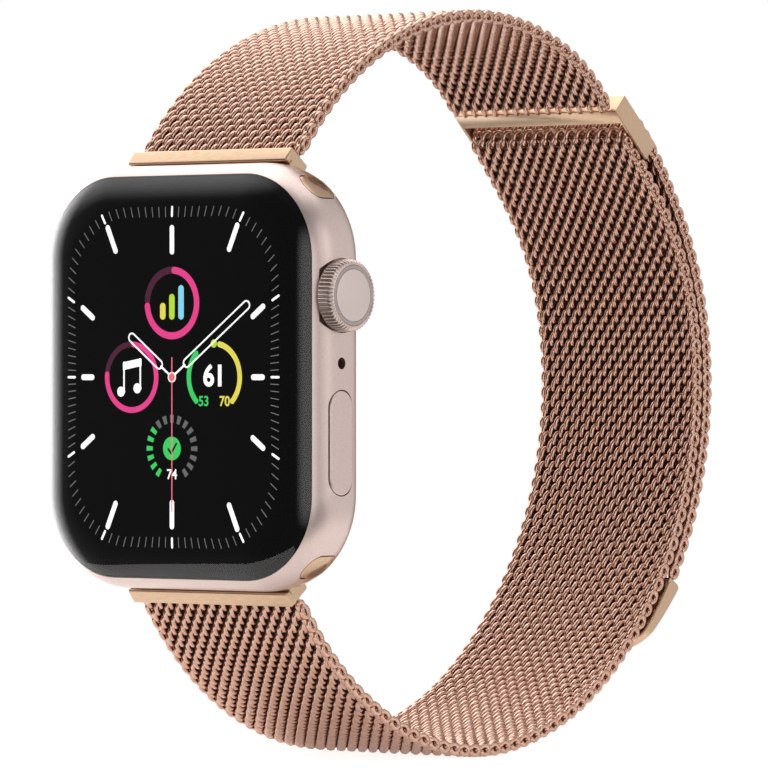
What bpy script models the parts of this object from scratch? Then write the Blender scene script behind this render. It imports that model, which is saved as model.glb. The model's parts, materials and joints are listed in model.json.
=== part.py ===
"""A square smartwatch on a woven metal strap: the case and what is in it, the crown and
buttons, the slide-in lugs, the two strap halves, the buckle frame and the magnetic clasp.

Origin: centre of the flat window in the back crystal, where the watch rests on the wrist.
+X points to the crown side, -Y out of the dial, +Z to twelve o'clock.
"""
import math

import bmesh
import bpy
from mathutils import Matrix, Vector

MM = 0.001

# Case envelope
CASE_WIDTH = 38.0 * MM
CASE_HEIGHT = 44.0 * MM
CASE_CORNER = 10.0 * MM
CASE_ROUND = 4.0 * MM
GLASS_FRONT = -10.7 * MM
CASE_BACK = -1.35 * MM
GLASS_SEAM = -9.2 * MM
CLEARANCE = 0.3 * MM

# Openings in the case
FRONT_LEDGE = -8.1 * MM
CAVITY_BACK = -3.6 * MM
BACK_LEDGE = -2.7 * MM
CAVITY_HALF = (16.6 * MM, 17.0 * MM)
FRONT_HALF = (16.9 * MM, 19.9 * MM)
BACK_HALF = (15.9 * MM, 16.6 * MM)
WINDOW_HALF = (14.9 * MM, 15.6 * MM)
DISPLAY_HALF = (15.9 * MM, 18.9 * MM)
CRYSTAL_RADIUS = 12.6 * MM

# Crown, microphone and side button, all on the right-hand wall
SIDE_LINE = -5.9 * MM
CROWN_HEIGHT = 8.3 * MM
CROWN_RADIUS = 3.7 * MM
CROWN_INNER = 18.7 * MM
CROWN_OUTER = 20.6 * MM
SHAFT_RADIUS = 0.85 * MM
MIC_HEIGHT = 1.4 * MM
BUTTON_HEIGHT = -6.7 * MM
BUTTON_LENGTH = 10.7 * MM
BUTTON_WIDTH = 3.56 * MM

# Lug channel, and the lug plate that leans along the strap
CHANNEL_Y = -5.4 * MM
CHANNEL_Z = 19.4 * MM
LUG_LEAN = math.radians(51.8)
LUG_REACH = 4.2 * MM
LUG_BAR = (4.0 * MM, 2.2 * MM)
LUG_HEAD_HALF = (10.9 * MM, 1.6 * MM)
LUG_PIN_REACH = 3.45 * MM
RELEASE_Z = 18.9 * MM

# Haptic unit screws
SCREW_X = 12.8 * MM
SCREW_Z = -13.4 * MM

# Strap loop, in polar form around its middle: angle 0 is the dial side, 90 is the top
LOOP_Y = 27.8 * MM
LOOP_Z = -0.5 * MM
STRAP_WIDTH = 21.9 * MM
STRAP_THICK = 1.5 * MM
TOP_STRAP = ((37.6, 38.4), (60, 38.7), (90, 38.9), (112, 38.5), (120, 37.9), (126.5, 36.95))
LOWER_STRAP = ((323.6, 37.8), (305, 38.4), (275, 39.2), (250, 38.9), (225, 38.2), (200, 38.0),
               (180, 38.0), (166, 37.9), (156, 37.5), (148, 36.9), (141, 36.5), (134.7, 36.45))
FLAP_STRAP = ((134.7, 39.15), (141, 39.15), (148, 39.15), (156, 39.4), (166, 39.7), (180, 39.8),
              (212.8, 39.8))

# Buckle frame: its upper bar holds the top strap, the lower strap folds over its lower bar
FRAME_ANGLE = 132.8
FRAME_RADIUS = 37.95 * MM
FRAME_HALF = (11.35 * MM, 1.2 * MM, 3.8 * MM)
FRAME_WALL = 0.35 * MM
UPPER_BAR = 2.0 * MM
LOWER_BAR_TOP = -0.5 * MM
LOWER_BAR_DEPTH = (-0.5 * MM, 0.15 * MM)
PIN_RADIUS = 0.45 * MM
PIN_HOLE = 0.65 * MM

# Clasp: a tab that gets thinner towards its rounded free end
CLASP_ANGLES = (213.5, 228.6)
CLASP_HALF_WIDTH = 11.2 * MM
CLASP_CORNER = 4.0 * MM
CLASP_INNER = 39.05 * MM
CLASP_OUTER = (41.0 * MM, 39.75 * MM)
MAGNET_SPACING = 6.5 * MM
MAGNET_Z = 0.9 * MM

FINISHES = {
    "rose_aluminium": ((0.66, 0.52, 0.48), 0.34, 1.0),
    "strap_steel": ((0.62, 0.36, 0.26), 0.28, 1.0),
    "gold_steel": ((0.60, 0.42, 0.25), 0.30, 1.0),
    "plain_steel": ((0.55, 0.55, 0.57), 0.30, 1.0),
    "magnet_nickel": ((0.62, 0.60, 0.57), 0.22, 1.0),
    "copper": ((0.72, 0.36, 0.20), 0.35, 1.0),
    "black_glass": ((0.005, 0.005, 0.007), 0.05, 0.0),
    "black_ceramic": ((0.02, 0.02, 0.022), 0.25, 0.0),
    "screen": ((0.01, 0.01, 0.012), 0.30, 0.0),
    "black_plastic": ((0.03, 0.03, 0.03), 0.50, 0.0),
    "circuit": ((0.02, 0.05, 0.03), 0.50, 0.0),
    "battery_foil": ((0.10, 0.10, 0.11), 0.45, 0.3),
    "seal_rubber": ((0.015, 0.015, 0.015), 0.70, 0.0),
}


def clear_scene():
    for item in list(bpy.data.objects):
        bpy.data.objects.remove(item, do_unlink=True)


def new_collection(name):
    group = bpy.data.collections.new(name)
    bpy.context.scene.collection.children.link(group)
    return group


def finish_material(name):
    material = bpy.data.materials.get(name)
    if material is None:
        colour, roughness, metallic = FINISHES[name]
        material = bpy.data.materials.new(name)
        material.use_nodes = True
        shader = material.node_tree.nodes["Principled BSDF"]
        shader.inputs["Base Color"].default_value = (*colour, 1.0)
        shader.inputs["Roughness"].default_value = roughness
        shader.inputs["Metallic"].default_value = metallic
    return material


def place(name, mesh, finish=None, smooth=False):
    """Link a mesh as a part with a finish, or as a hidden cutter when it has none."""
    item = bpy.data.objects.new(name, mesh)
    if finish:
        PARTS.objects.link(item)
        mesh.materials.append(finish_material(finish))
    else:
        CUTTERS.objects.link(item)
        item.hide_render = True
        item.display_type = 'WIRE'
    if smooth:
        mesh.shade_smooth()
        mesh.set_sharp_from_angle(angle=math.radians(35))
    return item


def mesh_from(name, builder):
    mesh = bpy.data.meshes.new(name)
    builder.to_mesh(mesh)
    builder.free()
    return mesh


def block(name, low, high, finish=None):
    """A box between two corners."""
    builder = bmesh.new()
    bmesh.ops.create_cube(builder, size=1.0)
    size = Vector(high) - Vector(low)
    middle = (Vector(high) + Vector(low)) / 2
    bmesh.ops.scale(builder, vec=size, verts=builder.verts)
    bmesh.ops.translate(builder, vec=middle, verts=builder.verts)
    return place(name, mesh_from(name, builder), finish)


def rod(name, axis, start, end, centre, radius, finish=None, sides=24):
    """A round bar along X or Y, from start to end on that axis, at centre across it."""
    builder = bmesh.new()
    bmesh.ops.create_cone(builder, cap_ends=True, segments=sides, radius1=radius,
                          radius2=radius, depth=end - start)
    item = place(name, mesh_from(name, builder), finish, smooth=True)
    aim(item, axis, (start + end) / 2, centre)
    return item


def aim(item, axis, along, centre):
    """Turn an item's Z axis to X or Y and set it down."""
    if axis == 'X':
        item.rotation_euler = (0, math.pi / 2, 0)
        item.location = (along, centre[0], centre[1])
    else:
        item.rotation_euler = (-math.pi / 2, 0, 0)
        item.location = (centre[0], along, centre[1])


def turned(name, axis, centre, profile, finish=None, closed=True, steps=32):
    """A turned piece: profile points are (radius, place along the axis), outer side downwards."""
    mesh = bpy.data.meshes.new(name)
    edges = [(i, i + 1) for i in range(len(profile) - 1)]
    if closed:
        edges.append((len(profile) - 1, 0))
    mesh.from_pydata([(radius, 0, along) for radius, along in profile], edges, [])
    item = place(name, mesh, finish)
    screw = item.modifiers.new("turn", 'SCREW')
    screw.steps = steps
    screw.render_steps = steps
    screw.use_merge_vertices = True
    screw.merge_threshold = 0.00001
    screw.use_smooth_shade = True
    aim(item, axis, 0, centre)
    return item


def washer(name, axis, centre, inner, outer, low, high, finish=None, steps=32):
    """A turned ring of rectangular section."""
    profile = [(outer, high), (outer, low), (inner, low), (inner, high)]
    return turned(name, axis, centre, profile, finish, steps=steps)


def rounded_outline(half_x, half_z, radius, arc_steps=8):
    """Points around a rounded rectangle, anticlockwise."""
    points = []
    corners = ((1, 1, 0), (-1, 1, 90), (-1, -1, 180), (1, -1, 270))
    for sign_x, sign_z, first in corners:
        centre_x = sign_x * (half_x - radius)
        centre_z = sign_z * (half_z - radius)
        for step in range(arc_steps + 1):
            angle = math.radians(first + 90 * step / arc_steps)
            points.append((centre_x + radius * math.cos(angle), centre_z + radius * math.sin(angle)))
    return points


def plate(name, outlines, low, high, finish=None):
    """A flat piece across Y, cut to one or more outlines in X and Z."""
    curve = bpy.data.curves.new(name, 'CURVE')
    curve.dimensions = '2D'
    curve.fill_mode = 'BOTH'
    curve.extrude = (high - low) / 2
    for outline in outlines:
        spline = curve.splines.new('POLY')
        spline.points.add(len(outline) - 1)
        spline.use_cyclic_u = True
        for point, (x, z) in zip(spline.points, outline):
            point.co = (x, z, 0, 1)
    guide = bpy.data.objects.new(name + "_outline", curve)
    bpy.context.scene.collection.objects.link(guide)
    guide.rotation_euler = (math.pi / 2, 0, 0)
    guide.location = (0, (low + high) / 2, 0)
    bpy.context.view_layer.update()
    mesh = bpy.data.meshes.new_from_object(guide.evaluated_get(bpy.context.evaluated_depsgraph_get()))
    mesh.transform(guide.matrix_world)
    bpy.data.objects.remove(guide, do_unlink=True)
    builder = bmesh.new()
    builder.from_mesh(mesh)
    bmesh.ops.remove_doubles(builder, verts=builder.verts, dist=0.00001)
    bmesh.ops.recalc_face_normals(builder, faces=builder.faces)
    builder.to_mesh(mesh)
    builder.free()
    mesh.name = name
    return place(name, mesh, finish)


def cut(item, *cutters):
    for cutter in cutters:
        boolean = item.modifiers.new(cutter.name, 'BOOLEAN')
        boolean.operation = 'DIFFERENCE'
        boolean.solver = 'EXACT'
        boolean.object = cutter
    return item


def join(item, *additions):
    for addition in additions:
        boolean = item.modifiers.new(addition.name, 'BOOLEAN')
        boolean.operation = 'UNION'
        boolean.solver = 'EXACT'
        boolean.object = addition
    return item


def round_rims(item, width, segments):
    bevel = item.modifiers.new("rounded rims", 'BEVEL')
    bevel.width = width
    bevel.segments = segments
    bevel.limit_method = 'ANGLE'
    bevel.angle_limit = math.radians(60)
    bevel.use_clamp_overlap = False
    return item


def half_turned(item, name, finish=None):
    """The same finished piece again at the bottom of the watch: half a turn about Y."""
    bpy.context.view_layer.update()
    depsgraph = bpy.context.evaluated_depsgraph_get()
    mesh = bpy.data.meshes.new_from_object(item.evaluated_get(depsgraph))
    mesh.transform(Matrix.Rotation(math.pi, 4, 'Y') @ item.matrix_world)
    mesh.materials.clear()
    mesh.name = name
    return place(name, mesh, finish)


def case_envelope(name, finish=None):
    outline = rounded_outline(CASE_WIDTH / 2, CASE_HEIGHT / 2, CASE_CORNER)
    slab = plate(name, [outline], GLASS_FRONT, CASE_BACK, finish)
    return round_rims(slab, CASE_ROUND, 5)


def pocket(name, half, radius, low, high):
    return plate(name, [rounded_outline(half[0], half[1], radius)], low, high)


def capsule_block(name, along_x, along_y, along_z, middle, long_axis, finish=None):
    """A bar with a capsule section: a box whose long edges are rounded half its thickness."""
    half = Vector((along_x, along_y, along_z)) / 2
    long_index = 'XYZ'.index(long_axis)
    bar = block(name, Vector(middle) - half, Vector(middle) + half, finish)
    bevel = bar.modifiers.new("capsule", 'BEVEL')
    bevel.limit_method = 'WEIGHT'
    bevel.segments = 5
    bevel.width = min(half[i] for i in range(3) if i != long_index) * 0.98
    weights = bar.data.attributes.new("bevel_weight_edge", 'FLOAT', 'EDGE')
    for edge in bar.data.edges:
        start, end = (bar.data.vertices[i].co for i in edge.vertices)
        run = end - start
        axis = max(range(3), key=lambda i: abs(run[i]))
        weights.data[edge.index].value = 1.0 if axis == long_index else 0.0
    return bar


def build_case():
    """The metal shell, with the seats for the glass, the back, the lugs and the side controls."""
    case = case_envelope("case_body", "rose_aluminium")
    half_w = CASE_WIDTH / 2
    reach = 30 * MM
    cutters = [
        block("case_front_cut", (-reach, -15 * MM, -reach), (reach, GLASS_SEAM + 0.1 * MM, reach)),
        pocket("case_front_opening", FRONT_HALF, 8.2 * MM, -12 * MM, FRONT_LEDGE),
        pocket("case_cavity", CAVITY_HALF, 7.0 * MM, FRONT_LEDGE - 1 * MM, CAVITY_BACK),
        pocket("case_back_window", WINDOW_HALF, 6.0 * MM, CAVITY_BACK - 1 * MM, 0),
        pocket("case_back_opening", BACK_HALF, 7.0 * MM, BACK_LEDGE, 2 * MM),
        rod("crown_bore", 'X', 14 * MM, 22 * MM, (SIDE_LINE, CROWN_HEIGHT), 2.1 * MM),
        rod("crown_recess", 'X', 18.2 * MM, 22 * MM, (SIDE_LINE, CROWN_HEIGHT),
            CROWN_RADIUS + CLEARANCE, sides=40),
        rod("microphone_hole", 'X', 14 * MM, 22 * MM, (SIDE_LINE, MIC_HEIGHT), 0.6 * MM, sides=16),
        capsule_block("button_seat", 4.8 * MM, BUTTON_WIDTH + 0.4 * MM, BUTTON_LENGTH + 0.4 * MM,
                      (half_w + 0.6 * MM, SIDE_LINE, BUTTON_HEIGHT), 'X'),
        rod("plunger_hole", 'X', 14 * MM, 18 * MM, (SIDE_LINE, BUTTON_HEIGHT), 0.9 * MM, sides=16),
    ]
    for side in (-1, 1):
        cutters.append(capsule_block("speaker_slot_%d" % (2 + side), 8 * MM, 1.3 * MM, 6.0 * MM,
                                     (-half_w, SIDE_LINE, side * 4.2 * MM), 'X'))
    channel = capsule_block("lug_channel_top", 60 * MM, LUG_BAR[0] + 2 * CLEARANCE,
                            LUG_BAR[1] + 2 * CLEARANCE, (0, CHANNEL_Y, CHANNEL_Z), 'X')
    mouth = leaning_block("lug_mouth_top", (30 * MM, 1.2 * MM, 0), (30 * MM, 1.2 * MM, 8 * MM))
    release = capsule_block("release_hole_top", 7.0 * MM, 6.0 * MM, 2.3 * MM,
                            (0, -0.3 * MM, RELEASE_Z), 'Y')
    for cutter in (channel, mouth, release):
        cutters += [cutter, half_turned(cutter, cutter.name.replace("top", "bottom"))]
    join(case, *screw_posts())
    return cut(case, *cutters, *pilot_holes())


def leaning_block(name, start, end, finish=None, slant=0.0):
    """A tapered block along the lug's lean: (half width, half thickness, distance) at each end.

    A slant moves the front of its start down, towards the case, and the back of it up."""
    builder = bmesh.new()
    bmesh.ops.create_cube(builder, size=2.0)
    for vertex in builder.verts:
        half_width, half_thick, distance = end if vertex.co.z > 0 else start
        if vertex.co.z < 0:
            distance += vertex.co.y * slant
        vertex.co = (vertex.co.x * half_width, vertex.co.y * half_thick, distance)
    item = place(name, mesh_from(name, builder), finish)
    item.rotation_euler = (LUG_LEAN - math.pi / 2, 0, 0)
    item.location = (0, CHANNEL_Y, CHANNEL_Z)
    return item


def screw_posts():
    """Two posts on the side walls that take the haptic unit's screws."""
    posts = []
    for side, label in ((-1, "left"), (1, "right")):
        inner, outer = side * 11.6 * MM, side * 17.2 * MM
        posts.append(block("post_" + label, (min(inner, outer), -7.9 * MM, -15.2 * MM),
                           (max(inner, outer), -5.3 * MM, -11.6 * MM)))
    return posts


def pilot_holes():
    return [rod("pilot_" + label, 'Y', -7.4 * MM, -5.0 * MM, (side * SCREW_X, SCREW_Z),
                0.5 * MM, sides=12) for side, label in ((-1, "left"), (1, "right"))]


def build_front():
    """The domed glass, the screen bonded under it, its seal and its flat cable."""
    glass = case_envelope("cover_glass", "black_glass")
    reach = 30 * MM
    cut(glass, block("glass_back_cut", (-reach, GLASS_SEAM - 0.05 * MM, -reach), (reach, 0, reach)),
        pocket("glass_pocket", FRONT_HALF, 8.2 * MM, -9.85 * MM, -9.0 * MM),
        pocket("display_pocket", (DISPLAY_HALF[0] + 0.2 * MM, DISPLAY_HALF[1] + 0.2 * MM), 7.6 * MM,
               -10.2 * MM, -9.5 * MM))
    plate("display_gasket", [rounded_outline(16.6 * MM, 19.6 * MM, 8.0 * MM),
                             rounded_outline(16.2 * MM, 19.2 * MM, 7.6 * MM)],
          -9.3 * MM, FRONT_LEDGE - 0.15 * MM, "seal_rubber")
    plate("display_panel", [rounded_outline(*DISPLAY_HALF, 7.4 * MM)], -10.1 * MM, -8.9 * MM, "screen")
    block("display_flex", (5 * MM, -8.85 * MM, 15.3 * MM), (11 * MM, -7.7 * MM, 15.5 * MM), "copper")


def build_back():
    """The ceramic back cover and its seal, the crystal, and the sensor and charging parts."""
    seal = [rounded_outline(15.6 * MM, 16.3 * MM, 6.7 * MM), rounded_outline(15.1 * MM, 15.8 * MM, 6.2 * MM)]
    plate("back_seal", seal, -2.65 * MM, -2.3 * MM, "seal_rubber")
    cover = plate("back_cover", [rounded_outline(15.6 * MM, 16.3 * MM, 6.7 * MM)],
                  -2.1 * MM, -1.2 * MM, "black_ceramic")
    cut(cover, rod("crystal_seat", 'Y', -4 * MM, 2 * MM, (0, 0), CRYSTAL_RADIUS + CLEARANCE, sides=48))
    radius = CRYSTAL_RADIUS
    dome = [(0, 0), (7 * MM, 0), (10 * MM, -0.25 * MM), (12 * MM, -0.85 * MM),
            (radius, -1.4 * MM), (radius, -2.1 * MM), (0, -2.1 * MM)]
    turned("back_crystal", 'Y', (0, 0), dome, "black_glass", closed=False, steps=48)
    rod("sensor_board", 'Y', -3.2 * MM, -2.4 * MM, (0, 0), 9.0 * MM, "circuit", sides=32)
    washer("charging_coil", 'Y', (0, 0), 9.6 * MM, 13.4 * MM, -3.2 * MM, -2.4 * MM, "copper")
    rod("coil_shield", 'Y', -3.95 * MM, -3.5 * MM, (0, 0), 13.4 * MM, "plain_steel", sides=32)


def build_inside():
    """The battery, main board, speaker, microphone and haptic unit."""
    block("battery", (-12.2 * MM, -7.4 * MM, -8.6 * MM), (1.2 * MM, -4.3 * MM, 15.2 * MM), "battery_foil")
    block("main_board", (2.2 * MM, -8.0 * MM, -9.4 * MM), (15.2 * MM, -7.65 * MM, 13.4 * MM), "circuit")
    block("processor_package", (3.4 * MM, -7.35 * MM, -7.0 * MM), (9.6 * MM, -6.2 * MM, 3.0 * MM),
          "black_plastic")
    block("speaker_module", (-16.0 * MM, -7.4 * MM, -8.0 * MM), (-12.7 * MM, -4.4 * MM, 8.0 * MM),
          "black_plastic")
    block("speaker_mesh", (-16.5 * MM, -6.8 * MM, -7.8 * MM), (-16.25 * MM, -5.0 * MM, 7.8 * MM),
          "plain_steel")
    block("microphone", (14.4 * MM, -7.1 * MM, 0.2 * MM), (15.8 * MM, -4.8 * MM, 2.6 * MM), "plain_steel")
    rod("microphone_mesh", 'X', 16.0 * MM, 16.3 * MM, (SIDE_LINE, MIC_HEIGHT), 0.8 * MM,
        "plain_steel", sides=16)
    housing = block("haptic_housing", (-14.3 * MM, -7.4 * MM, -16.2 * MM), (14.3 * MM, -4.0 * MM, -10.6 * MM),
                    "plain_steel")
    chamber = block("haptic_chamber", (-10.4 * MM, -6.9 * MM, -15.6 * MM), (10.4 * MM, -3.0 * MM, -11.2 * MM))
    ear_cuts = []
    for side, label in ((-1, "left"), (1, "right")):
        near, far = sorted((side * 11 * MM, side * 15 * MM))
        for part, low, high in (("under", (-8, -17), (-5.0, -10)), ("over", (-4.4, -17), (-3, -10)),
                                ("end", (-8, -17), (-3, -14.6)), ("front", (-8, -12.2), (-3, -10))):
            ear_cuts.append(block("haptic_%s_%s" % (part, label), (near, low[0] * MM, low[1] * MM),
                                  (far, high[0] * MM, high[1] * MM)))
    holes = [rod("ear_hole_" + label, 'Y', -6 * MM, -3 * MM, (side * SCREW_X, SCREW_Z),
                 0.55 * MM, sides=12) for side, label in ((-1, "left"), (1, "right"))]
    cut(housing, chamber, *ear_cuts, *holes)
    block("haptic_mass", (-8.8 * MM, -6.6 * MM, -15.3 * MM), (8.8 * MM, -4.4 * MM, -11.5 * MM), "plain_steel")
    for side, label in ((-1, "left"), (1, "right")):
        screw = [(0, -3.8 * MM), (0.8 * MM, -3.8 * MM), (0.8 * MM, -4.3 * MM), (0.3 * MM, -4.3 * MM),
                 (0.3 * MM, -6.8 * MM), (0, -6.8 * MM)]
        turned("haptic_screw_" + label, 'Y', (side * SCREW_X, SCREW_Z), screw, "plain_steel",
               closed=False, steps=12)


def build_crown():
    """The crown: cap, face disc and insulating ring on a shaft that turns in a bush."""
    centre = (SIDE_LINE, CROWN_HEIGHT)
    face = CROWN_OUTER - 0.35 * MM
    cap = [(3.13 * MM, CROWN_OUTER), (CROWN_RADIUS, CROWN_OUTER - 0.45 * MM),
           (CROWN_RADIUS, CROWN_INNER + 0.3 * MM), (CROWN_RADIUS - 0.3 * MM, CROWN_INNER),
           (2.2 * MM, CROWN_INNER), (2.2 * MM, 19.6 * MM), (1.05 * MM, 19.6 * MM), (1.05 * MM, 19.95 * MM),
           (0, 19.95 * MM)]
    turned("crown_cap", 'X', centre, [(0, face), (3.13 * MM, face)] + cap, "rose_aluminium",
           closed=False, steps=40)
    washer("crown_insulator", 'X', centre, 2.72 * MM, 3.08 * MM, face + 0.05 * MM, CROWN_OUTER - 0.05 * MM,
           "black_plastic", steps=40)
    rod("crown_disc", 'X', face + 0.05 * MM, CROWN_OUTER, centre, 2.67 * MM, "rose_aluminium", sides=40)
    rod("crown_shaft", 'X', 12.9 * MM, 19.85 * MM, centre, SHAFT_RADIUS, "plain_steel", sides=20)
    washer("crown_bush", 'X', centre, 1.2 * MM, 1.8 * MM, 15.2 * MM, 19.1 * MM, "plain_steel", steps=24)
    washer("crown_seal", 'X', centre, 0.95 * MM, 1.14 * MM, 17.4 * MM, 17.7 * MM, "seal_rubber", steps=20)
    rod("crown_thrust_clip", 'X', 12.2 * MM, 12.75 * MM, centre, 1.5 * MM, "plain_steel", sides=20)
    block("crown_switch", (10.4 * MM, -7.0 * MM, 7.2 * MM), (11.8 * MM, -4.8 * MM, 9.4 * MM), "black_plastic")
    block("crown_encoder", (13.2 * MM, -6.9 * MM, 9.6 * MM), (14.8 * MM, -4.9 * MM, 11.2 * MM),
          "black_plastic")


def build_side_button():
    centre = (SIDE_LINE, BUTTON_HEIGHT)
    cap_inner, cap_outer = 17.6 * MM, 19.05 * MM
    capsule_block("side_button", cap_outer - cap_inner, BUTTON_WIDTH, BUTTON_LENGTH,
                  ((cap_inner + cap_outer) / 2, SIDE_LINE, BUTTON_HEIGHT), 'X', "rose_aluminium")
    rod("button_plunger", 'X', 15.4 * MM, 17.45 * MM, centre, 0.55 * MM, "plain_steel", sides=16)
    washer("button_seal", 'X', centre, 0.65 * MM, 0.84 * MM, 16.7 * MM, 16.95 * MM, "seal_rubber", steps=16)
    block("button_switch", (13.8 * MM, -7.0 * MM, -7.7 * MM), (15.0 * MM, -4.8 * MM, -5.7 * MM),
          "black_plastic")


def build_lugs():
    """Slide-in lugs with the pins that hold the strap's ends, their catches and release buttons."""
    bar = capsule_block("lug_top", 34 * MM, LUG_BAR[0], LUG_BAR[1], (0, CHANNEL_Y, CHANNEL_Z), 'X',
                        "gold_steel")
    trim = bar.modifiers.new("ends follow the case", 'BOOLEAN')
    trim.operation = 'INTERSECT'
    trim.solver = 'EXACT'
    trim.object = pocket("lug_end_shape", (CASE_WIDTH / 2 - 0.15 * MM, CASE_HEIGHT / 2 - 0.15 * MM),
                         CASE_CORNER - 0.15 * MM, -12 * MM, 2 * MM)
    neck = leaning_block("lug_neck", (13.4 * MM, 0.9 * MM, 0.2 * MM), (11.2 * MM, 0.9 * MM, 3.0 * MM))
    head = leaning_block("lug_head", (*LUG_HEAD_HALF, 2.77 * MM), (*LUG_HEAD_HALF, LUG_REACH), slant=0.3 * MM)
    join(bar, neck, head)
    pin_y = CHANNEL_Y + LUG_PIN_REACH * math.cos(LUG_LEAN)
    pin_z = CHANNEL_Z + LUG_PIN_REACH * math.sin(LUG_LEAN)
    cut(bar, rod("lug_pin_hole", 'X', -20 * MM, 20 * MM, (pin_y, pin_z), PIN_HOLE, sides=12),
        rod("catch_hole", 'Y', -6.2 * MM, -3.0 * MM, (0, RELEASE_Z + 0.2 * MM), 0.85 * MM, sides=16))
    half_turned(bar, "lug_bottom", "gold_steel")
    pin = rod("lug_pin_top", 'X', -10.6 * MM, 10.6 * MM, (pin_y, pin_z), PIN_RADIUS, "plain_steel", sides=12)
    half_turned(pin, "lug_pin_bottom", "plain_steel")
    catch = rod("catch_top", 'Y', -5.5 * MM, -3.65 * MM, (0, RELEASE_Z + 0.2 * MM), 0.6 * MM,
                "plain_steel", sides=16)
    half_turned(catch, "catch_bottom", "plain_steel")
    button = capsule_block("release_button_top", 6.5 * MM, 1.1 * MM, 1.8 * MM,
                           (0, -2.35 * MM, RELEASE_Z), 'Y', "rose_aluminium")
    half_turned(button, "release_button_bottom", "rose_aluminium")


def radius_at(keys, angle):
    """Loop radius at an angle, on a smooth curve through (angle, radius) keys."""
    count = len(keys)
    slopes = []
    for i in range(count):
        before, after = keys[max(i - 1, 0)], keys[min(i + 1, count - 1)]
        slopes.append((after[1] - before[1]) / (after[0] - before[0]))
    for i in range(count - 1):
        (a0, r0), (a1, r1) = keys[i], keys[i + 1]
        t = (angle - a0) / (a1 - a0)
        if t <= 1 or i == count - 2:
            span = a1 - a0
            return ((2 * t**3 - 3 * t**2 + 1) * r0 + (t**3 - 2 * t**2 + t) * span * slopes[i]
                    + (3 * t**2 - 2 * t**3) * r1 + (t**3 - t**2) * span * slopes[i + 1])


def loop_point(angle, radius):
    turn = math.radians(angle)
    return LOOP_Y - radius * math.cos(turn), LOOP_Z + radius * math.sin(turn)


def strap_run(name, keys, steps):
    """A length of strap: a strip along the loop, thickened both ways."""
    builder = bmesh.new()
    rows = []
    for step in range(steps + 1):
        angle = keys[0][0] + (keys[-1][0] - keys[0][0]) * step / steps
        y, z = loop_point(angle, radius_at(keys, angle) * MM)
        rows.append([builder.verts.new((side * STRAP_WIDTH / 2, y, z)) for side in (-1, 1)])
    for near, far in zip(rows, rows[1:]):
        builder.faces.new((near[0], near[1], far[1], far[0]))
    item = place(name, mesh_from(name, builder), "strap_steel")
    thicken(item, STRAP_THICK)
    return item


def thicken(item, thickness):
    solidify = item.modifiers.new("thickness", 'SOLIDIFY')
    solidify.thickness = thickness
    solidify.offset = 0
    solidify.use_even_offset = True


def on_loop(item, angle, radius):
    """Set a piece on the loop: its Y points outwards, its Z back towards the top lug."""
    item.rotation_euler = (math.pi - math.radians(angle), 0, 0)
    item.location = (0, *loop_point(angle, radius))
    return item


def build_buckle():
    """The frame that the lower strap folds over, and the pin in its upper bar."""
    wide, deep, tall = FRAME_HALF
    inner = wide - FRAME_WALL
    slot_top = tall - UPPER_BAR
    frame = on_loop(block("buckle_frame", (-wide, -deep, -tall), (wide, deep, tall), "gold_steel"),
                    FRAME_ANGLE, FRAME_RADIUS)
    beyond = 3 * MM
    lap = 0.1 * MM
    bar_inner, bar_outer = LOWER_BAR_DEPTH
    reliefs = [
        block("frame_slot", (-inner, -beyond, LOWER_BAR_TOP), (inner, beyond, slot_top)),
        block("frame_relief_inside", (-inner, -beyond, -tall - beyond),
              (inner, bar_inner, LOWER_BAR_TOP + lap)),
        block("frame_relief_outside", (-inner, bar_outer, -tall - beyond),
              (inner, beyond, LOWER_BAR_TOP + lap)),
    ]
    for relief in reliefs:
        on_loop(relief, FRAME_ANGLE, FRAME_RADIUS)
    up_bar = math.degrees((tall - UPPER_BAR / 2) / FRAME_RADIUS)
    pin_place = loop_point(FRAME_ANGLE - up_bar, FRAME_RADIUS)
    cut(frame, *reliefs, rod("frame_pin_hole", 'X', -20 * MM, 20 * MM, pin_place, PIN_HOLE, sides=12))
    rod("buckle_pin", 'X', -11.0 * MM, 11.0 * MM, pin_place, PIN_RADIUS, "plain_steel", sides=12)


def clasp_shell():
    """A curved tab: it thins towards its free end, whose corners are rounded."""
    first, last = CLASP_ANGLES
    run = math.radians(last - first) * CLASP_INNER
    steps = 14
    builder = bmesh.new()
    rows = []
    for step in range(steps + 1):
        share = step / steps
        to_end = min(run * (1 - share), CLASP_CORNER)
        half = CLASP_HALF_WIDTH - CLASP_CORNER + math.sqrt(CLASP_CORNER ** 2 - (CLASP_CORNER - to_end) ** 2)
        outer = CLASP_OUTER[0] + (CLASP_OUTER[1] - CLASP_OUTER[0]) * share
        angle = first + (last - first) * share
        corners = ((-half, CLASP_INNER), (half, CLASP_INNER), (half, outer), (-half, outer))
        rows.append([builder.verts.new((x, *loop_point(angle, radius))) for x, radius in corners])
    for near, far in zip(rows, rows[1:]):
        for i in range(4):
            j = (i + 1) % 4
            builder.faces.new((near[i], near[j], far[j], far[i]))
    builder.faces.new(rows[0])
    builder.faces.new(rows[-1])
    bmesh.ops.recalc_face_normals(builder, faces=builder.faces)
    return place("clasp_housing", mesh_from("clasp_housing", builder), "gold_steel")


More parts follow.
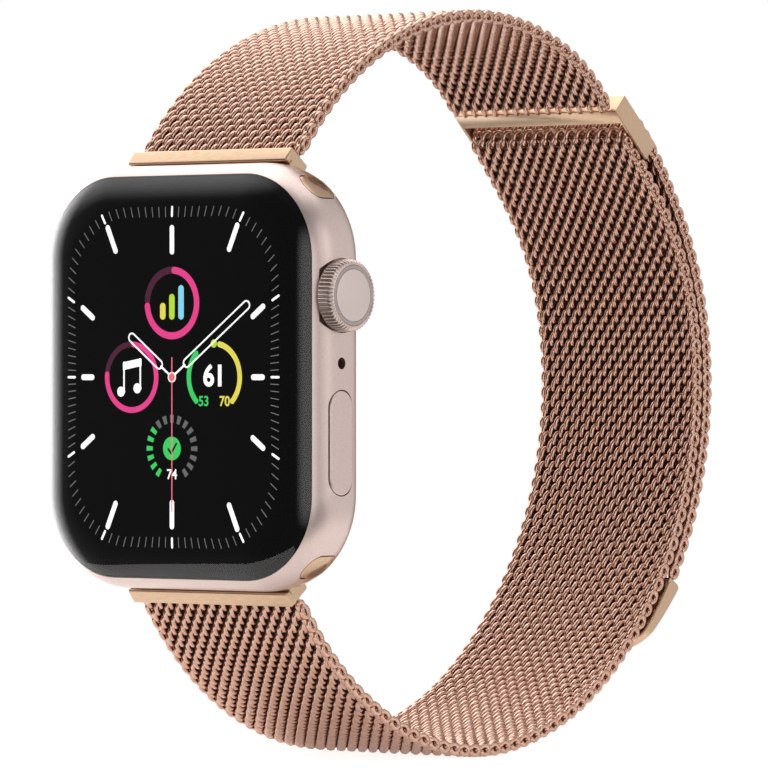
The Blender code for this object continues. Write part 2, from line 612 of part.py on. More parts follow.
def build_clasp():
    """The magnetic tab at the strap's end: a curved housing, three magnets and a back plate."""
    centre = sum(CLASP_ANGLES) / 2
    cutters = [block("clasp_recess", (-9.9 * MM, -3 * MM, -4.2 * MM), (9.9 * MM, 0.2 * MM, 4.6 * MM))]
    items = [block("clasp_back_plate", (-9.6 * MM, -0.15 * MM, -3.9 * MM), (9.6 * MM, 0.1 * MM, 4.3 * MM),
                   "gold_steel")]
    for i in range(3):
        x = (i - 1) * MAGNET_SPACING
        cutters.append(block("magnet_pocket_%d" % (i + 1), (x - 3.0 * MM, -0.1 * MM, MAGNET_Z - 3.2 * MM),
                             (x + 3.0 * MM, 0.7 * MM, MAGNET_Z + 3.2 * MM)))
        items.append(block("clasp_magnet_%d" % (i + 1), (x - 2.8 * MM, 0.15 * MM, MAGNET_Z - 3.0 * MM),
                           (x + 2.8 * MM, 0.6 * MM, MAGNET_Z + 3.0 * MM), "magnet_nickel"))
    for item in (*cutters, *items):
        on_loop(item, centre, CLASP_INNER)
    cut(clasp_shell(), *cutters)


clear_scene()
PARTS = new_collection("smartwatch")
CUTTERS = new_collection("cutters")
build_case()
build_front()
build_back()
build_inside()
build_crown()
build_side_button()
build_lugs()
strap_run("strap_top", TOP_STRAP, 20)
strap_run("strap_lower", LOWER_STRAP, 44)
strap_run("strap_flap", FLAP_STRAP, 18)
build_buckle()
build_clasp()
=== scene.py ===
import json
import math

import bmesh
import bpy
import numpy as np
from mathutils import Matrix, Vector


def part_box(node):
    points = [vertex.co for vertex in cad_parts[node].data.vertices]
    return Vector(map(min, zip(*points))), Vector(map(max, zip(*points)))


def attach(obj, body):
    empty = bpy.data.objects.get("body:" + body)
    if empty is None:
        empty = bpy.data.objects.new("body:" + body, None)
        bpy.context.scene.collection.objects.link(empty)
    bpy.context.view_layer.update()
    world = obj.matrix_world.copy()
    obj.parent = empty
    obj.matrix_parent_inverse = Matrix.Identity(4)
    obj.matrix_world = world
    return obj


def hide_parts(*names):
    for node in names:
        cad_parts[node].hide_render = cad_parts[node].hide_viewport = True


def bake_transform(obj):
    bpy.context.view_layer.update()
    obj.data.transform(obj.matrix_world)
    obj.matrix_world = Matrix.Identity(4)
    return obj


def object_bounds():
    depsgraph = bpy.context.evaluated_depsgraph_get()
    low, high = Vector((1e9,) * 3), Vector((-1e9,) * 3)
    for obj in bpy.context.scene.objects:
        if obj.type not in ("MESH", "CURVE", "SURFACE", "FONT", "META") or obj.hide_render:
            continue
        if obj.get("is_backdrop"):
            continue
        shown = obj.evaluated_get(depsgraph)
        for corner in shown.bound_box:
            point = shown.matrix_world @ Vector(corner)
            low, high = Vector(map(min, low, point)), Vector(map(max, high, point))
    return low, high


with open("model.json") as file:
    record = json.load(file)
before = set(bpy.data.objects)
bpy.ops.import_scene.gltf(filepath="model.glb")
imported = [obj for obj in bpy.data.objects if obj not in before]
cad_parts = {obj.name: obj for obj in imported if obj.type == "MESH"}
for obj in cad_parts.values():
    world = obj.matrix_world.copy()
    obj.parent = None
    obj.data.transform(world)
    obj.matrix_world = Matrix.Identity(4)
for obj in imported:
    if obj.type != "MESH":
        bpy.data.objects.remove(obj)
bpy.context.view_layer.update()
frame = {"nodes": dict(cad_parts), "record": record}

MM = 0.001

# ---------------------------------------------------------------------------
# Case shell. One block of aluminium, milled hollow, fine-blasted and anodised
# a rose champagne. The sides are a full round; the glass continues the curve.
# ---------------------------------------------------------------------------

case_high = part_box("case_body")[1]
crown_low, crown_high = (Vector(corner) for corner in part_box("crown_cap"))
key_low, key_high = (Vector(corner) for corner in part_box("side_button"))

CASE_HALF_X = case_high.x
CASE_HALF_Z = case_high.z
CASE_BACK = case_high.y
GLASS_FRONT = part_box("cover_glass")[0].y
GLASS_SEAM = -9.2 * MM
CASE_CORNER = 10.0 * MM
SIDE_LINE = (crown_low.y + crown_high.y) / 2
CROWN_Z = (crown_low.z + crown_high.z) / 2
CROWN_RADIUS = (crown_high.z - crown_low.z) / 2
BUTTON_Z = (key_low.z + key_high.z) / 2
MIC_Z = 1.4 * MM
# The round of the case sides: how far in it reaches, and how deep it is, front and back.
FRONT_ROUND = (5.8 * MM, 4.6 * MM)
BACK_ROUND = (4.0 * MM, 4.0 * MM)


def linear(hex_colour):
    """An sRGB hex colour as the linear values that shaders take."""
    channels = [int(hex_colour[i:i + 2], 16) / 255 for i in (1, 3, 5)]
    return tuple(c / 12.92 if c <= 0.04045 else ((c + 0.055) / 1.055) ** 2.4 for c in channels) + (1.0,)


def add_node(tree, kind, settings=None, **links):
    """A shader node with its settings, socket values and incoming links."""
    node = tree.nodes.new(kind)
    for name, value in (settings or {}).items():
        if hasattr(node, name):
            setattr(node, name, value)
        else:
            node.inputs[name].default_value = value
    for name, source in links.items():
        tree.links.new(source, node.inputs[name.replace("_", " ")])
    return node


def new_material(name, colour, roughness, metallic=0.0, **sockets):
    material = bpy.data.materials.new(name)
    material.use_nodes = True
    shader = material.node_tree.nodes["Principled BSDF"]
    shader.inputs["Base Color"].default_value = linear(colour)
    shader.inputs["Roughness"].default_value = roughness
    shader.inputs["Metallic"].default_value = metallic
    for socket, value in sockets.items():
        shader.inputs[socket.replace("_", " ")].default_value = value
    return material, material.node_tree, shader


def grained(name, size, shades, roughness, metallic=0.0, bump=0.0, stretch=(1, 1, 1), **sockets):
    """A material whose colour, roughness and height vary a little with a grain of one size."""
    material, tree, shader = new_material(name, shades[0], roughness[0], metallic, **sockets)
    place = add_node(tree, "ShaderNodeTexCoord")
    scaled = add_node(tree, "ShaderNodeMapping", {"Scale": stretch}, Vector=place.outputs["Object"])
    noise = add_node(tree, "ShaderNodeTexNoise", {"Scale": 1 / size, "Detail": 3.0},
                     Vector=scaled.outputs["Vector"])
    ramp = add_node(tree, "ShaderNodeValToRGB", Fac=noise.outputs["Fac"])
    ramp.color_ramp.elements[0].position = 0.35
    ramp.color_ramp.elements[0].color = linear(shades[0])
    ramp.color_ramp.elements[1].position = 0.65
    ramp.color_ramp.elements[1].color = linear(shades[1])
    tree.links.new(ramp.outputs["Color"], shader.inputs["Base Color"])
    rough = add_node(tree, "ShaderNodeMapRange", {"To Min": roughness[0], "To Max": roughness[1]},
                     Value=noise.outputs["Fac"])
    tree.links.new(rough.outputs["Result"], shader.inputs["Roughness"])
    if bump:
        height = add_node(tree, "ShaderNodeBump", {"Strength": bump, "Distance": size * 0.2},
                          Height=noise.outputs["Fac"])
        tree.links.new(height.outputs["Normal"], shader.inputs["Normal"])
    return material


anodised = grained("anodised_aluminium", 0.09 * MM, ("#CBB5AE", "#D9C6C0"), (0.33, 0.40), 1.0, 0.10)


def linked(name, data):
    """A new object in the scene."""
    item = bpy.data.objects.new(name, data)
    bpy.context.scene.collection.objects.link(item)
    return item


def add_piece(name, mesh, material, body, slot, *replaced, smooth=35):
    piece = linked(name, mesh)
    mesh.materials.clear()
    mesh.materials.append(material)
    if smooth:
        mesh.shade_smooth()
        mesh.set_sharp_from_angle(angle=math.radians(smooth))
    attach(piece, body)
    if replaced:
        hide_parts(*replaced)
    return piece


def mesh_from(name, builder):
    bmesh.ops.recalc_face_normals(builder, faces=builder.faces)
    mesh = bpy.data.meshes.new(name)
    builder.to_mesh(mesh)
    builder.free()
    return mesh


def loft(name, loops, closed=False):
    """A skin over loops of points with equal counts, capped or joined end to end."""
    builder = bmesh.new()
    rings = [[builder.verts.new(point) for point in loop] for loop in loops]
    spans = list(zip(rings, rings[1:]))
    if closed:
        spans.append((rings[-1], rings[0]))
    for near, far in spans:
        for j in range(len(near)):
            k = (j + 1) % len(near)
            builder.faces.new((near[j], near[k], far[k], far[j]))
    if not closed:
        builder.faces.new(rings[0])
        builder.faces.new(rings[-1])
    return mesh_from(name, builder)


def rounded_outline(half_a, half_b, corner, arc_steps=20, side_steps=6):
    """Points (a, b) of a rounded rectangle, with the same count at any size."""
    points = []
    corners = ((1, 1, 0), (-1, 1, 90), (-1, -1, 180), (1, -1, 270))
    for index, (sign_a, sign_b, first) in enumerate(corners):
        for step in range(arc_steps + 1):
            angle = math.radians(first + 90 * step / arc_steps)
            points.append((sign_a * (half_a - corner) + corner * math.cos(angle),
                           sign_b * (half_b - corner) + corner * math.sin(angle)))
        next_a, next_b, _ = corners[(index + 1) % 4]
        angle = math.radians(first + 90)
        end_a = next_a * (half_a - corner) + corner * math.cos(angle)
        end_b = next_b * (half_b - corner) + corner * math.sin(angle)
        start_a, start_b = points[-1]
        for step in range(1, side_steps):
            share = step / side_steps
            points.append((start_a + (end_a - start_a) * share, start_b + (end_b - start_b) * share))
    return points


def flat_loop(half_x, half_z, corner, y):
    return [Vector((x, y, z)) for x, z in rounded_outline(half_x, half_z, corner)]


def case_loop(turn, inward=0.0):
    """The outer skin's loop at a turn of its round: 90 is the dial face, -90 the back."""
    angle = math.radians(turn)
    reach, depth = FRONT_ROUND if turn >= 0 else BACK_ROUND
    inset = reach * (1 - math.cos(angle)) ** 1.2 + inward * math.cos(angle)
    face = GLASS_FRONT + depth if turn >= 0 else CASE_BACK - depth
    y = face - (depth - inward) * math.sin(angle)
    return flat_loop(CASE_HALF_X - inset, CASE_HALF_Z - inset, CASE_CORNER - inset, y)


SEAM_TURN = math.degrees(math.asin((GLASS_FRONT + FRONT_ROUND[1] - GLASS_SEAM) / FRONT_ROUND[1]))


def case_shell_mesh():
    skin = [case_loop(-90 + 6 * step) for step in range(15)]
    skin += [case_loop(SEAM_TURN * step / 10) for step in range(11)]
    # The ledge under the glass edge, then the hollow: half width, half height, corner and depth.
    skin.append([p.lerp(Vector((0, p.y, 0)), 0.012) + Vector((0, 0.06 * MM, 0)) for p in skin[-1]])
    for hollow in ((16.7, 19.7, 8.2, -9.0), (16.7, 19.7, 8.2, -8.1), (16.4, 17.0, 7.0, -8.1),
                   (16.4, 17.0, 7.0, -3.6), (14.9, 15.6, 6.0, -3.6), (14.9, 15.6, 6.0, -2.7),
                   (15.75, 16.45, 6.85, -2.7), (15.75, 16.45, 6.85, -1.45), (15.9, 16.6, 7.0, -1.35)):
        skin.append(flat_loop(*(value * MM for value in hollow)))
    return loft("case_shell", skin[1:], closed=True)


def block_mesh(name, low, high):
    builder = bmesh.new()
    bmesh.ops.create_cube(builder, size=1.0)
    size = Vector(high) - Vector(low)
    bmesh.ops.scale(builder, vec=size, verts=builder.verts)
    bmesh.ops.translate(builder, vec=(Vector(high) + Vector(low)) / 2, verts=builder.verts)
    return mesh_from(name, builder)


def prism_x(name, outline, x_start, x_end):
    """A straight bar along X with an outline of (y, z) points."""
    return loft(name, [[Vector((x, y, z)) for y, z in outline] for x in (x_start, x_end)])


def shifted(outline, a, b):
    return [(p + a, q + b) for p, q in outline]


def capsule_outline(half_a, half_b):
    return rounded_outline(half_a, half_b, min(half_a, half_b) * 0.999, 12, 2)


def disc_outline(radius, count=48):
    return [(radius * math.cos(2 * math.pi * i / count), radius * math.sin(2 * math.pi * i / count))
            for i in range(count)]


def baked(item, name):
    """The object's shape with its modifiers or text applied, as a mesh; the object goes away."""
    bpy.context.view_layer.update()
    result = bpy.data.meshes.new_from_object(item.evaluated_get(bpy.context.evaluated_depsgraph_get()))
    bpy.data.objects.remove(item, do_unlink=True)
    result.name = name
    return result


def cut_mesh(mesh, cutters, operation='DIFFERENCE'):
    """The mesh after exact booleans with the cutters, which are used up."""
    item = linked("cut", mesh)
    helpers = []
    for cutter in cutters:
        helper = linked("cutter", cutter)
        helpers.append(helper)
        boolean = item.modifiers.new("cut", 'BOOLEAN')
        boolean.operation = operation
        boolean.solver = 'EXACT'
        boolean.object = helper
    result = baked(item, mesh.name)
    for used in helpers:
        bpy.data.objects.remove(used, do_unlink=True)
    return result


def bevelled(mesh, width, segments):
    """The mesh with its sharp edges rounded over."""
    item = linked("bevel", mesh)
    bevel = item.modifiers.new("bevel", 'BEVEL')
    bevel.width = width
    bevel.segments = segments
    bevel.limit_method = 'ANGLE'
    bevel.angle_limit = math.radians(40)
    return baked(item, mesh.name)


def merged(name, meshes):
    builder = bmesh.new()
    for mesh in meshes:
        builder.from_mesh(mesh)
    return mesh_from(name, builder)


# Lug channel across the case, and the lean of the lug plate that comes out of it.
CHANNEL_Y = -5.4 * MM
CHANNEL_Z = 19.4 * MM
LUG_LEAN = math.radians(51.8)
RELEASE_Z = 18.9 * MM


def leaning(mesh):
    """Stand a mesh, drawn along Z from the origin, on the lug channel and lean it back."""
    mesh.transform(Matrix.Rotation(LUG_LEAN - math.pi / 2, 4, 'X'))
    mesh.transform(Matrix.Translation((0, CHANNEL_Y, CHANNEL_Z)))
    return mesh


def half_turn(mesh):
    """A copy of the mesh for the bottom of the watch, half a turn round."""
    copy = mesh.copy()
    copy.transform(Matrix.Rotation(math.pi, 4, 'Y'))
    return copy


def case_cutters():
    side = CASE_HALF_X
    crown = shifted(disc_outline(CROWN_RADIUS + 0.12 * MM, 96), SIDE_LINE, CROWN_Z)
    bore = shifted(disc_outline(2.0 * MM), SIDE_LINE, CROWN_Z)
    cutters = [
        prism_x("recess", crown, side - 0.68 * MM, side + 3 * MM),
        prism_x("bore", bore, 14 * MM, side + 3 * MM),
        prism_x("mic", shifted(disc_outline(0.6 * MM, 32), SIDE_LINE, MIC_Z), 14 * MM, side + 3 * MM),
        prism_x("seat", shifted(capsule_outline(1.86 * MM, 5.43 * MM), SIDE_LINE, BUTTON_Z),
                side - 1.8 * MM, side + 3 * MM)]
    for z in (4.2, -4.2):
        cutters.append(prism_x("slot", shifted(capsule_outline(0.6 * MM, 3.0 * MM), SIDE_LINE, z * MM),
                               -side - 2 * MM, -15 * MM))
    channel = prism_x("channel", shifted(capsule_outline(2.12 * MM, 1.22 * MM), CHANNEL_Y, CHANNEL_Z),
                      -22 * MM, 22 * MM)
    mouth = leaning(block_mesh("mouth", (-22 * MM, -1.02 * MM, 0), (22 * MM, 1.02 * MM, 9 * MM)))
    seat = shifted(capsule_outline(3.42 * MM, 1.06 * MM), 0, RELEASE_Z)
    release = loft("release", [[Vector((x, y, z)) for x, z in seat] for y in (-3.24 * MM, 2 * MM)])
    for cutter in (channel, mouth, release):
        cutters += [half_turn(cutter), cutter]
    return cutters


case_mesh = cut_mesh(case_shell_mesh(), case_cutters())
add_piece("case_shell", case_mesh, anodised, "watch_case", "rose_aluminium", "case_body", smooth=28)


# ---------------------------------------------------------------------------
# Cover glass, screen and dial. Clear glass whose edge rolls over into the case,
# with black ink under its rim, over a dark screen that shows an analogue dial.
# ---------------------------------------------------------------------------

GLASS_BACK = -10.15 * MM
GLASS_GAP = 0.05 * MM
INK_HALF = (CASE_HALF_X - 2.3 * MM, CASE_HALF_Z - 2.3 * MM, 7.7 * MM)
SCREEN_HALF = (15.9 * MM, 18.9 * MM, 7.0 * MM)


def cover_glass_mesh():
    outer = [case_loop(SEAM_TURN + (90 - SEAM_TURN) * step / 16) for step in range(17)]
    outer[0] = [p - Vector((0, GLASS_GAP, 0)) for p in outer[0]]
    inner = [flat_loop(*INK_HALF, GLASS_SEAM - GLASS_GAP), flat_loop(*SCREEN_HALF, GLASS_BACK)]
    return loft("cover_glass_body", list(reversed(inner)) + outer)


def clear_glass():
    """Clear glass, very faintly uneven in tint."""
    material, tree, shader = new_material("clear_glass", "#FFFFFF", 0.0, IOR=1.5, Transmission_Weight=1.0)
    place = add_node(tree, "ShaderNodeTexCoord")
    noise = add_node(tree, "ShaderNodeTexNoise", {"Scale": 1 / (6 * MM)}, Vector=place.outputs["Object"])
    tint = add_node(tree, "ShaderNodeValToRGB", Fac=noise.outputs["Fac"])
    tint.color_ramp.elements[0].color = linear("#F2F6F5")
    tint.color_ramp.elements[1].color = linear("#FFFFFF")
    tree.links.new(tint.outputs["Color"], shader.inputs["Base Color"])
    return material


add_piece("cover_glass_body", cover_glass_mesh(), clear_glass(), "watch_case", "black_glass", "cover_glass",
          smooth=50)

# The ink and the screen are bonded to the glass: their faces lie just inside its back.
BOND = 0.03 * MM
black_ink = grained("black_ink", 0.2 * MM, ("#010101", "#030303"), (0.55, 0.65), Specular_IOR_Level=0.0)
RIM_Y = GLASS_SEAM - GLASS_GAP - BOND


def grown(half, extra, y):
    """The flat loop of a rounded outline, a little larger or smaller."""
    return flat_loop(half[0] + extra, half[1] + extra, half[2], y)


ink = [[Vector((p.x, y, p.z)) for p in case_loop(SEAM_TURN + 2)] for y in (GLASS_SEAM + 0.02 * MM, RIM_Y)]
ink += [grown(INK_HALF, BOND, RIM_Y), grown(SCREEN_HALF, BOND, GLASS_BACK - BOND),
        grown(SCREEN_HALF, -0.1 * MM, GLASS_BACK - BOND),
        grown(SCREEN_HALF, -0.1 * MM, GLASS_SEAM + 0.25 * MM)]
add_piece("glass_ink", loft("glass_ink", ink, closed=True), black_ink, "watch_case", "black_plastic")

dark_screen = grained("dark_screen", 0.12 * MM, ("#010102", "#030304"), (0.5, 0.6), Specular_IOR_Level=0.0)
screen_loops = [flat_loop(15.78 * MM, 18.78 * MM, 6.9 * MM, y) for y in (GLASS_BACK - BOND, -8.9 * MM)]
add_piece("screen_panel", loft("screen_panel", screen_loops), dark_screen, "watch_case", "screen",
          "display_panel")


MARK_Y = GLASS_BACK - BOND - 0.012 * MM
MARK_FOOT = MARK_Y + 0.02 * MM


def lit(name, colour, strength):
    """Lit marks on the screen, with the faint cell pattern of a display."""
    material, tree, shader = new_material(name, colour, 0.5)
    place = add_node(tree, "ShaderNodeTexCoord")
    turned_place = add_node(tree, "ShaderNodeMapping", {"Rotation": (math.pi / 2, 0, 0)},
                            Vector=place.outputs["Object"])
    full = linear(colour)
    cells = add_node(tree, "ShaderNodeTexBrick",
                     {"Color1": full, "Color2": tuple(c * 0.93 for c in full[:3]) + (1.0,),
                      "Mortar": tuple(c * 0.8 for c in full[:3]) + (1.0,), "Scale": 1.0,
                      "Mortar Size": 0.006 * MM, "Brick Width": 0.078 * MM, "Row Height": 0.078 * MM},
                     Vector=turned_place.outputs["Vector"])
    tree.links.new(cells.outputs["Color"], shader.inputs["Emission Color"])
    shader.inputs["Emission Strength"].default_value = strength
    return material


def flat_prism(builder, outline, layer=0):
    """A thin lit shape on the screen; a higher layer lies on top."""
    front = MARK_Y - layer * 0.006 * MM
    rings = [[Vector((x * MM, y, z * MM)) for x, z in outline] for y in (MARK_FOOT, front)]
    builder.from_mesh(loft("mark", rings))


def bar_outline(start, end, width, round_steps=8):
    """A bar with round ends between two points."""
    (x0, z0), (x1, z1) = start, end
    heading = math.atan2(z1 - z0, x1 - x0)
    points = []
    for (x, z), first in (((x1, z1), heading - math.pi / 2), ((x0, z0), heading + math.pi / 2)):
        for step in range(round_steps + 1):
            angle = first + math.pi * step / round_steps
            points.append((x + width / 2 * math.cos(angle), z + width / 2 * math.sin(angle)))
    return points


def arc_outline(centre, radius, width, first, last, caps=True):
    """A band along an arc, clock angles: 0 is up, 90 is right."""
    steps = max(6, int(abs(last - first) / 4))
    outer, inner = [], []
    for step in range(steps + 1):
        angle = math.radians(90 - (first + (last - first) * step / steps))
        outer.append((centre[0] + (radius + width / 2) * math.cos(angle),
                      centre[1] + (radius + width / 2) * math.sin(angle)))
        inner.append((centre[0] + (radius - width / 2) * math.cos(angle),
                      centre[1] + (radius - width / 2) * math.sin(angle)))
    if not caps:
        return outer + inner[::-1]
    ends = []
    for clock, side in ((last, 1), (first, -1)):
        angle = math.radians(90 - clock)
        x, z = centre[0] + radius * math.cos(angle), centre[1] + radius * math.sin(angle)
        cap = []
        for step in range(1, 8):
            turn = angle - side * math.pi * step / 8 if side > 0 else angle + math.pi - math.pi * step / 8
            cap.append((x + width / 2 * math.cos(turn), z + width / 2 * math.sin(turn)))
        ends.append(cap)
    return outer + ends[0] + inner[::-1] + ends[1]


def disc_points(x, z, radius, count=32):
    return [(x + a, z + b) for a, b in disc_outline(radius, count)]


def tick_place(clock):
    """Where a minute tick sits on the rounded track, and which way it points."""
    angle = math.radians(90 - clock)
    way = (math.cos(angle), math.sin(angle))
    half_x, half_z, corner = 14.35, 17.5, 8.0
    low, high = 0.0, 30.0
    for _ in range(40):
        reach = (low + high) / 2
        x, z = abs(way[0]) * reach, abs(way[1]) * reach
        over_x, over_z = x - (half_x - corner), z - (half_z - corner)
        if over_x > 0 and over_z > 0:
            inside = math.hypot(over_x, over_z) < corner
        else:
            inside = x < half_x and z < half_z
        low, high = (reach, high) if inside else (low, reach)
    return way, low


def hollow_hand(builder, tip, start_share, width, line):
    """A hand drawn as an outline, on a thin stalk from the middle."""
    start = (tip[0] * start_share, tip[1] * start_share)
    front = MARK_Y - 0.012 * MM
    outer = bar_outline(start, tip, width)
    inner = bar_outline(start, tip, width - 2 * line)
    rings = [[Vector((x * MM, y, z * MM)) for x, z in ring]
             for ring, y in ((outer, MARK_FOOT), (outer, front), (inner, front), (inner, MARK_FOOT))]
    builder.from_mesh(loft("hand", rings, closed=True))
    reach = math.hypot(*start)
    share = (reach - width / 2 + line) / reach
    flat_prism(builder, bar_outline((0, 0), (start[0] * share, start[1] * share), line * 1.25), 2)


def number_mesh(text, x, z, height, thin=0.0):
    """A number set flat on the screen, centred on a point."""
    curve = bpy.data.curves.new("number", 'FONT')
    curve.body = text
    curve.align_x = 'CENTER'
    curve.align_y = 'CENTER'
    curve.size = height * 1.37 * MM
    curve.extrude = 0.01 * MM
    curve.offset = thin * MM
    mesh = baked(linked("number", curve), "number")
    mesh.transform(Matrix.Translation((x * MM, MARK_Y, z * MM)) @ Matrix.Rotation(math.pi / 2, 4, 'X'))
    return mesh


TOP_SPOT, LEFT_SPOT, RIGHT_SPOT, LOW_SPOT = (0, 7.64), (-5.55, 0), (5.76, 0), (0, -7.34)
HOUR_BARS = {0: ((0, 12.6), (0, 15.7)), 30: ((7.64, 12.8), (9.0, 15.8)), 60: ((10.7, 6.0), (12.6, 7.4)),
             90: ((10.7, 0), (12.6, 0))}


def dial_shapes():
    """Every shape of the dial, by the colour it is lit in."""
    shapes = {name: bmesh.new() for name in ("white", "grey", "dim", "magenta", "plum", "green", "yellow",
                                             "blue", "pink", "moss")}
    for index in range(120):
        clock = index * 3
        way, reach = tick_place(clock)
        major = index % 10 == 0
        length = 0.9 if major else 1.0
        outline = bar_outline((way[0] * (reach - length), way[1] * (reach - length)),
                              (way[0] * reach, way[1] * reach), 0.26 if major else 0.085, 4)
        flat_prism(shapes["white" if major else "grey"], outline)
    for clock, (near, far) in HOUR_BARS.items():
        mirrors = {(near[0] * a, near[1] * b, far[0] * a, far[1] * b) for a in (1, -1) for b in (1, -1)}
        for x0, z0, x1, z1 in mirrors:
            length = math.hypot(x1 - x0, z1 - z0)
            trim_x, trim_z = (x1 - x0) / length * 0.33, (z1 - z0) / length * 0.33
            bar = bar_outline((x0 + trim_x, z0 + trim_z), (x1 - trim_x, z1 - trim_z), 0.6)
            flat_prism(shapes["white"], bar)
    # Top: a round gauge with three level bars inside it.
    flat_prism(shapes["plum"], arc_outline(TOP_SPOT, 3.38, 0.72, -85, 0))
    flat_prism(shapes["magenta"], arc_outline(TOP_SPOT, 3.38, 0.72, 5, 265), 1)
    for x, level, colour in ((-1.25, 1.0, "yellow"), (0, 1.9, "moss"), (1.25, 2.8, "blue")):
        flat_prism(shapes[colour], bar_outline((x, 6.3), (x, 6.3 + level), 0.75), 1)
    # Left: a ring with a pair of notes.
    flat_prism(shapes["plum"], arc_outline(LEFT_SPOT, 3.4, 0.6, -80, 0))
    flat_prism(shapes["magenta"], arc_outline(LEFT_SPOT, 3.4, 0.6, 5, 275), 1)
    note_x = LEFT_SPOT[0]
    for x, low in ((-1.05, -1.5), (1.2, -1.15)):
        flat_prism(shapes["white"], disc_points(note_x + x - 0.42, low, 0.52))
        flat_prism(shapes["white"], bar_outline((note_x + x, low), (note_x + x, low + 3.0), 0.2))
    flat_prism(shapes["white"], [(note_x - 1.15, 1.55), (note_x + 1.3, 1.95), (note_x + 1.3, 1.15),
                                 (note_x - 1.15, 0.75)])
    # Right: an open gauge from green to yellow with its reading.
    flat_prism(shapes["green"], arc_outline(RIGHT_SPOT, 3.45, 0.6, -135, -45))
    flat_prism(shapes["yellow"], arc_outline(RIGHT_SPOT, 3.45, 0.6, 12, 135))
    flat_prism(shapes["moss"], disc_points(RIGHT_SPOT[0] - 0.05, 3.45, 0.42))
    # Bottom: a segmented gauge round a tick mark.
    for index in range(17):
        clock = -144 + index * 18
        segment = arc_outline(LOW_SPOT, 3.05, 0.85, clock - 4.5, clock + 4.5, caps=False)
        flat_prism(shapes["green" if index < 6 else "dim"], segment)
    flat_prism(shapes["green"], disc_points(*LOW_SPOT, 1.22))
    return shapes


def dial_hands(shapes):
    hollow_hand(shapes["white"], (-5.5, 4.1), 0.32, 1.05, 0.17)
    hollow_hand(shapes["white"], (10.1, 7.35), 0.2, 1.05, 0.17)
    flat_prism(shapes["pink"], bar_outline((0, 2.0), (0, -13.8), 0.14), 4)
    flat_prism(shapes["white"], disc_points(0, 0, 0.55), 3)
    flat_prism(shapes["pink"], disc_points(0, 0, 0.42), 5)


dial = dial_shapes()
dial_hands(dial)
DIAL_LIGHT = {"white": ("#FFFFFF", 1.0), "grey": ("#7E7E80", 0.75), "dim": ("#6A6A6C", 0.8),
              "magenta": ("#DE3F86", 0.95), "plum": ("#4A1A33", 0.9), "green": ("#3CC965", 0.9),
              "yellow": ("#DFD255", 0.95), "blue": ("#7FCBE6", 1.0), "pink": ("#E06A78", 1.0),
              "moss": ("#B4D93B", 0.9)}
lights_on = {name: lit("screen_" + name, colour, strength) for name, (colour, strength) in DIAL_LIGHT.items()}
for name, builder in dial.items():
    add_piece("dial_" + name, mesh_from("dial_" + name, builder), lights_on[name], "watch_case", "screen",
              smooth=0)
number_meshes = {
    "white": [number_mesh("61", RIGHT_SPOT[0], 0.05, 2.2, 0.09), number_mesh("74", 0, -10.05, 1.05, 0.02)],
    "green": [number_mesh("53", 4.34, -2.5, 1.05, 0.03)],
    "yellow": [number_mesh("70", 7.17, -2.5, 1.05, 0.03)]}
for name, meshes in number_meshes.items():
    add_piece("dial_numbers_" + name, merged("dial_numbers_" + name, meshes), lights_on[name], "watch_case",
              "screen", smooth=0)
check_mark = bmesh.new()
flat_prism(check_mark, bar_outline((-0.5, -7.4), (-0.1, -7.85), 0.22), 2)
flat_prism(check_mark, bar_outline((-0.1, -7.85), (0.6, -6.85), 0.22), 2)
add_piece("dial_check_mark", mesh_from("dial_check_mark", check_mark), dark_screen, "watch_case", "screen",
          smooth=0)


# ---------------------------------------------------------------------------
# Crown. A turned cap with a fluted rim; a satin disc sits in its face inside a
# thin insulating ring. It turns on a steel shaft and presses in.
# ---------------------------------------------------------------------------

CROWN_FACE = crown_high.x
CROWN_FOOT = crown_low.x


def crown_ring(x, radius, flute=0.0, flutes=54, per_flute=8):
    points = []
    for i in range(flutes * per_flute):
        angle = 2 * math.pi * i / (flutes * per_flute)
        dip = flute * (0.5 - 0.5 * math.cos(angle * flutes)) ** 1.5
        reach = radius - dip
        points.append(Vector((x, SIDE_LINE + reach * math.cos(angle), CROWN_Z + reach * math.sin(angle))))
    return points


def crown_cap_mesh():
    rim, flute = CROWN_RADIUS, 0.16 * MM
    # From the foot: height over it, cut into the radius, share of the flutes' depth.
    foot = ((0, 0.3, 0), (0.1, 0.1, 0), (0.22, 0, 0.5), (0.32, 0, 1))
    # Towards the face: depth under it, cut into the radius, share of the flutes' depth.
    shoulder = ((0.55, 0, 1), (0.32, 0.06, 1), (0.14, 0.2, 0.9), (0.04, 0.38, 0.6), (0.01, 0.5, 0.2),
                (0, 0.56, 0))
    rings = [crown_ring(CROWN_FOOT, 2.0 * MM)]
    rings += [crown_ring(CROWN_FOOT + up * MM, rim - less * MM, share * flute) for up, less, share in foot]
    rings += [crown_ring(CROWN_FACE - down * MM, rim - less * MM, share * flute)
              for down, less, share in shoulder]
    rings += [crown_ring(CROWN_FACE - down * MM, radius * MM)
              for down, radius in ((0.05, 3.1), (0.3, 3.1), (0.3, 0.4))]
    return loft("crown_rim", rings)


def disc_mesh(name, x_start, x_end, inner, outer, soft):
    """A turned ring or disc on the crown's axis, with softened outer edge."""
    profile = [(x_start, outer), (x_end - soft, outer), (x_end - 0.3 * soft, outer - 0.3 * soft),
               (x_end, outer - soft)]
    if inner:
        profile += [(x_end, inner + soft), (x_end - soft, inner), (x_start, inner)]
        return loft(name, [crown_ring(x, radius, 0, 96, 1) for x, radius in profile], closed=True)
    return loft(name, [crown_ring(x, radius, 0, 96, 1) for x, radius in profile])


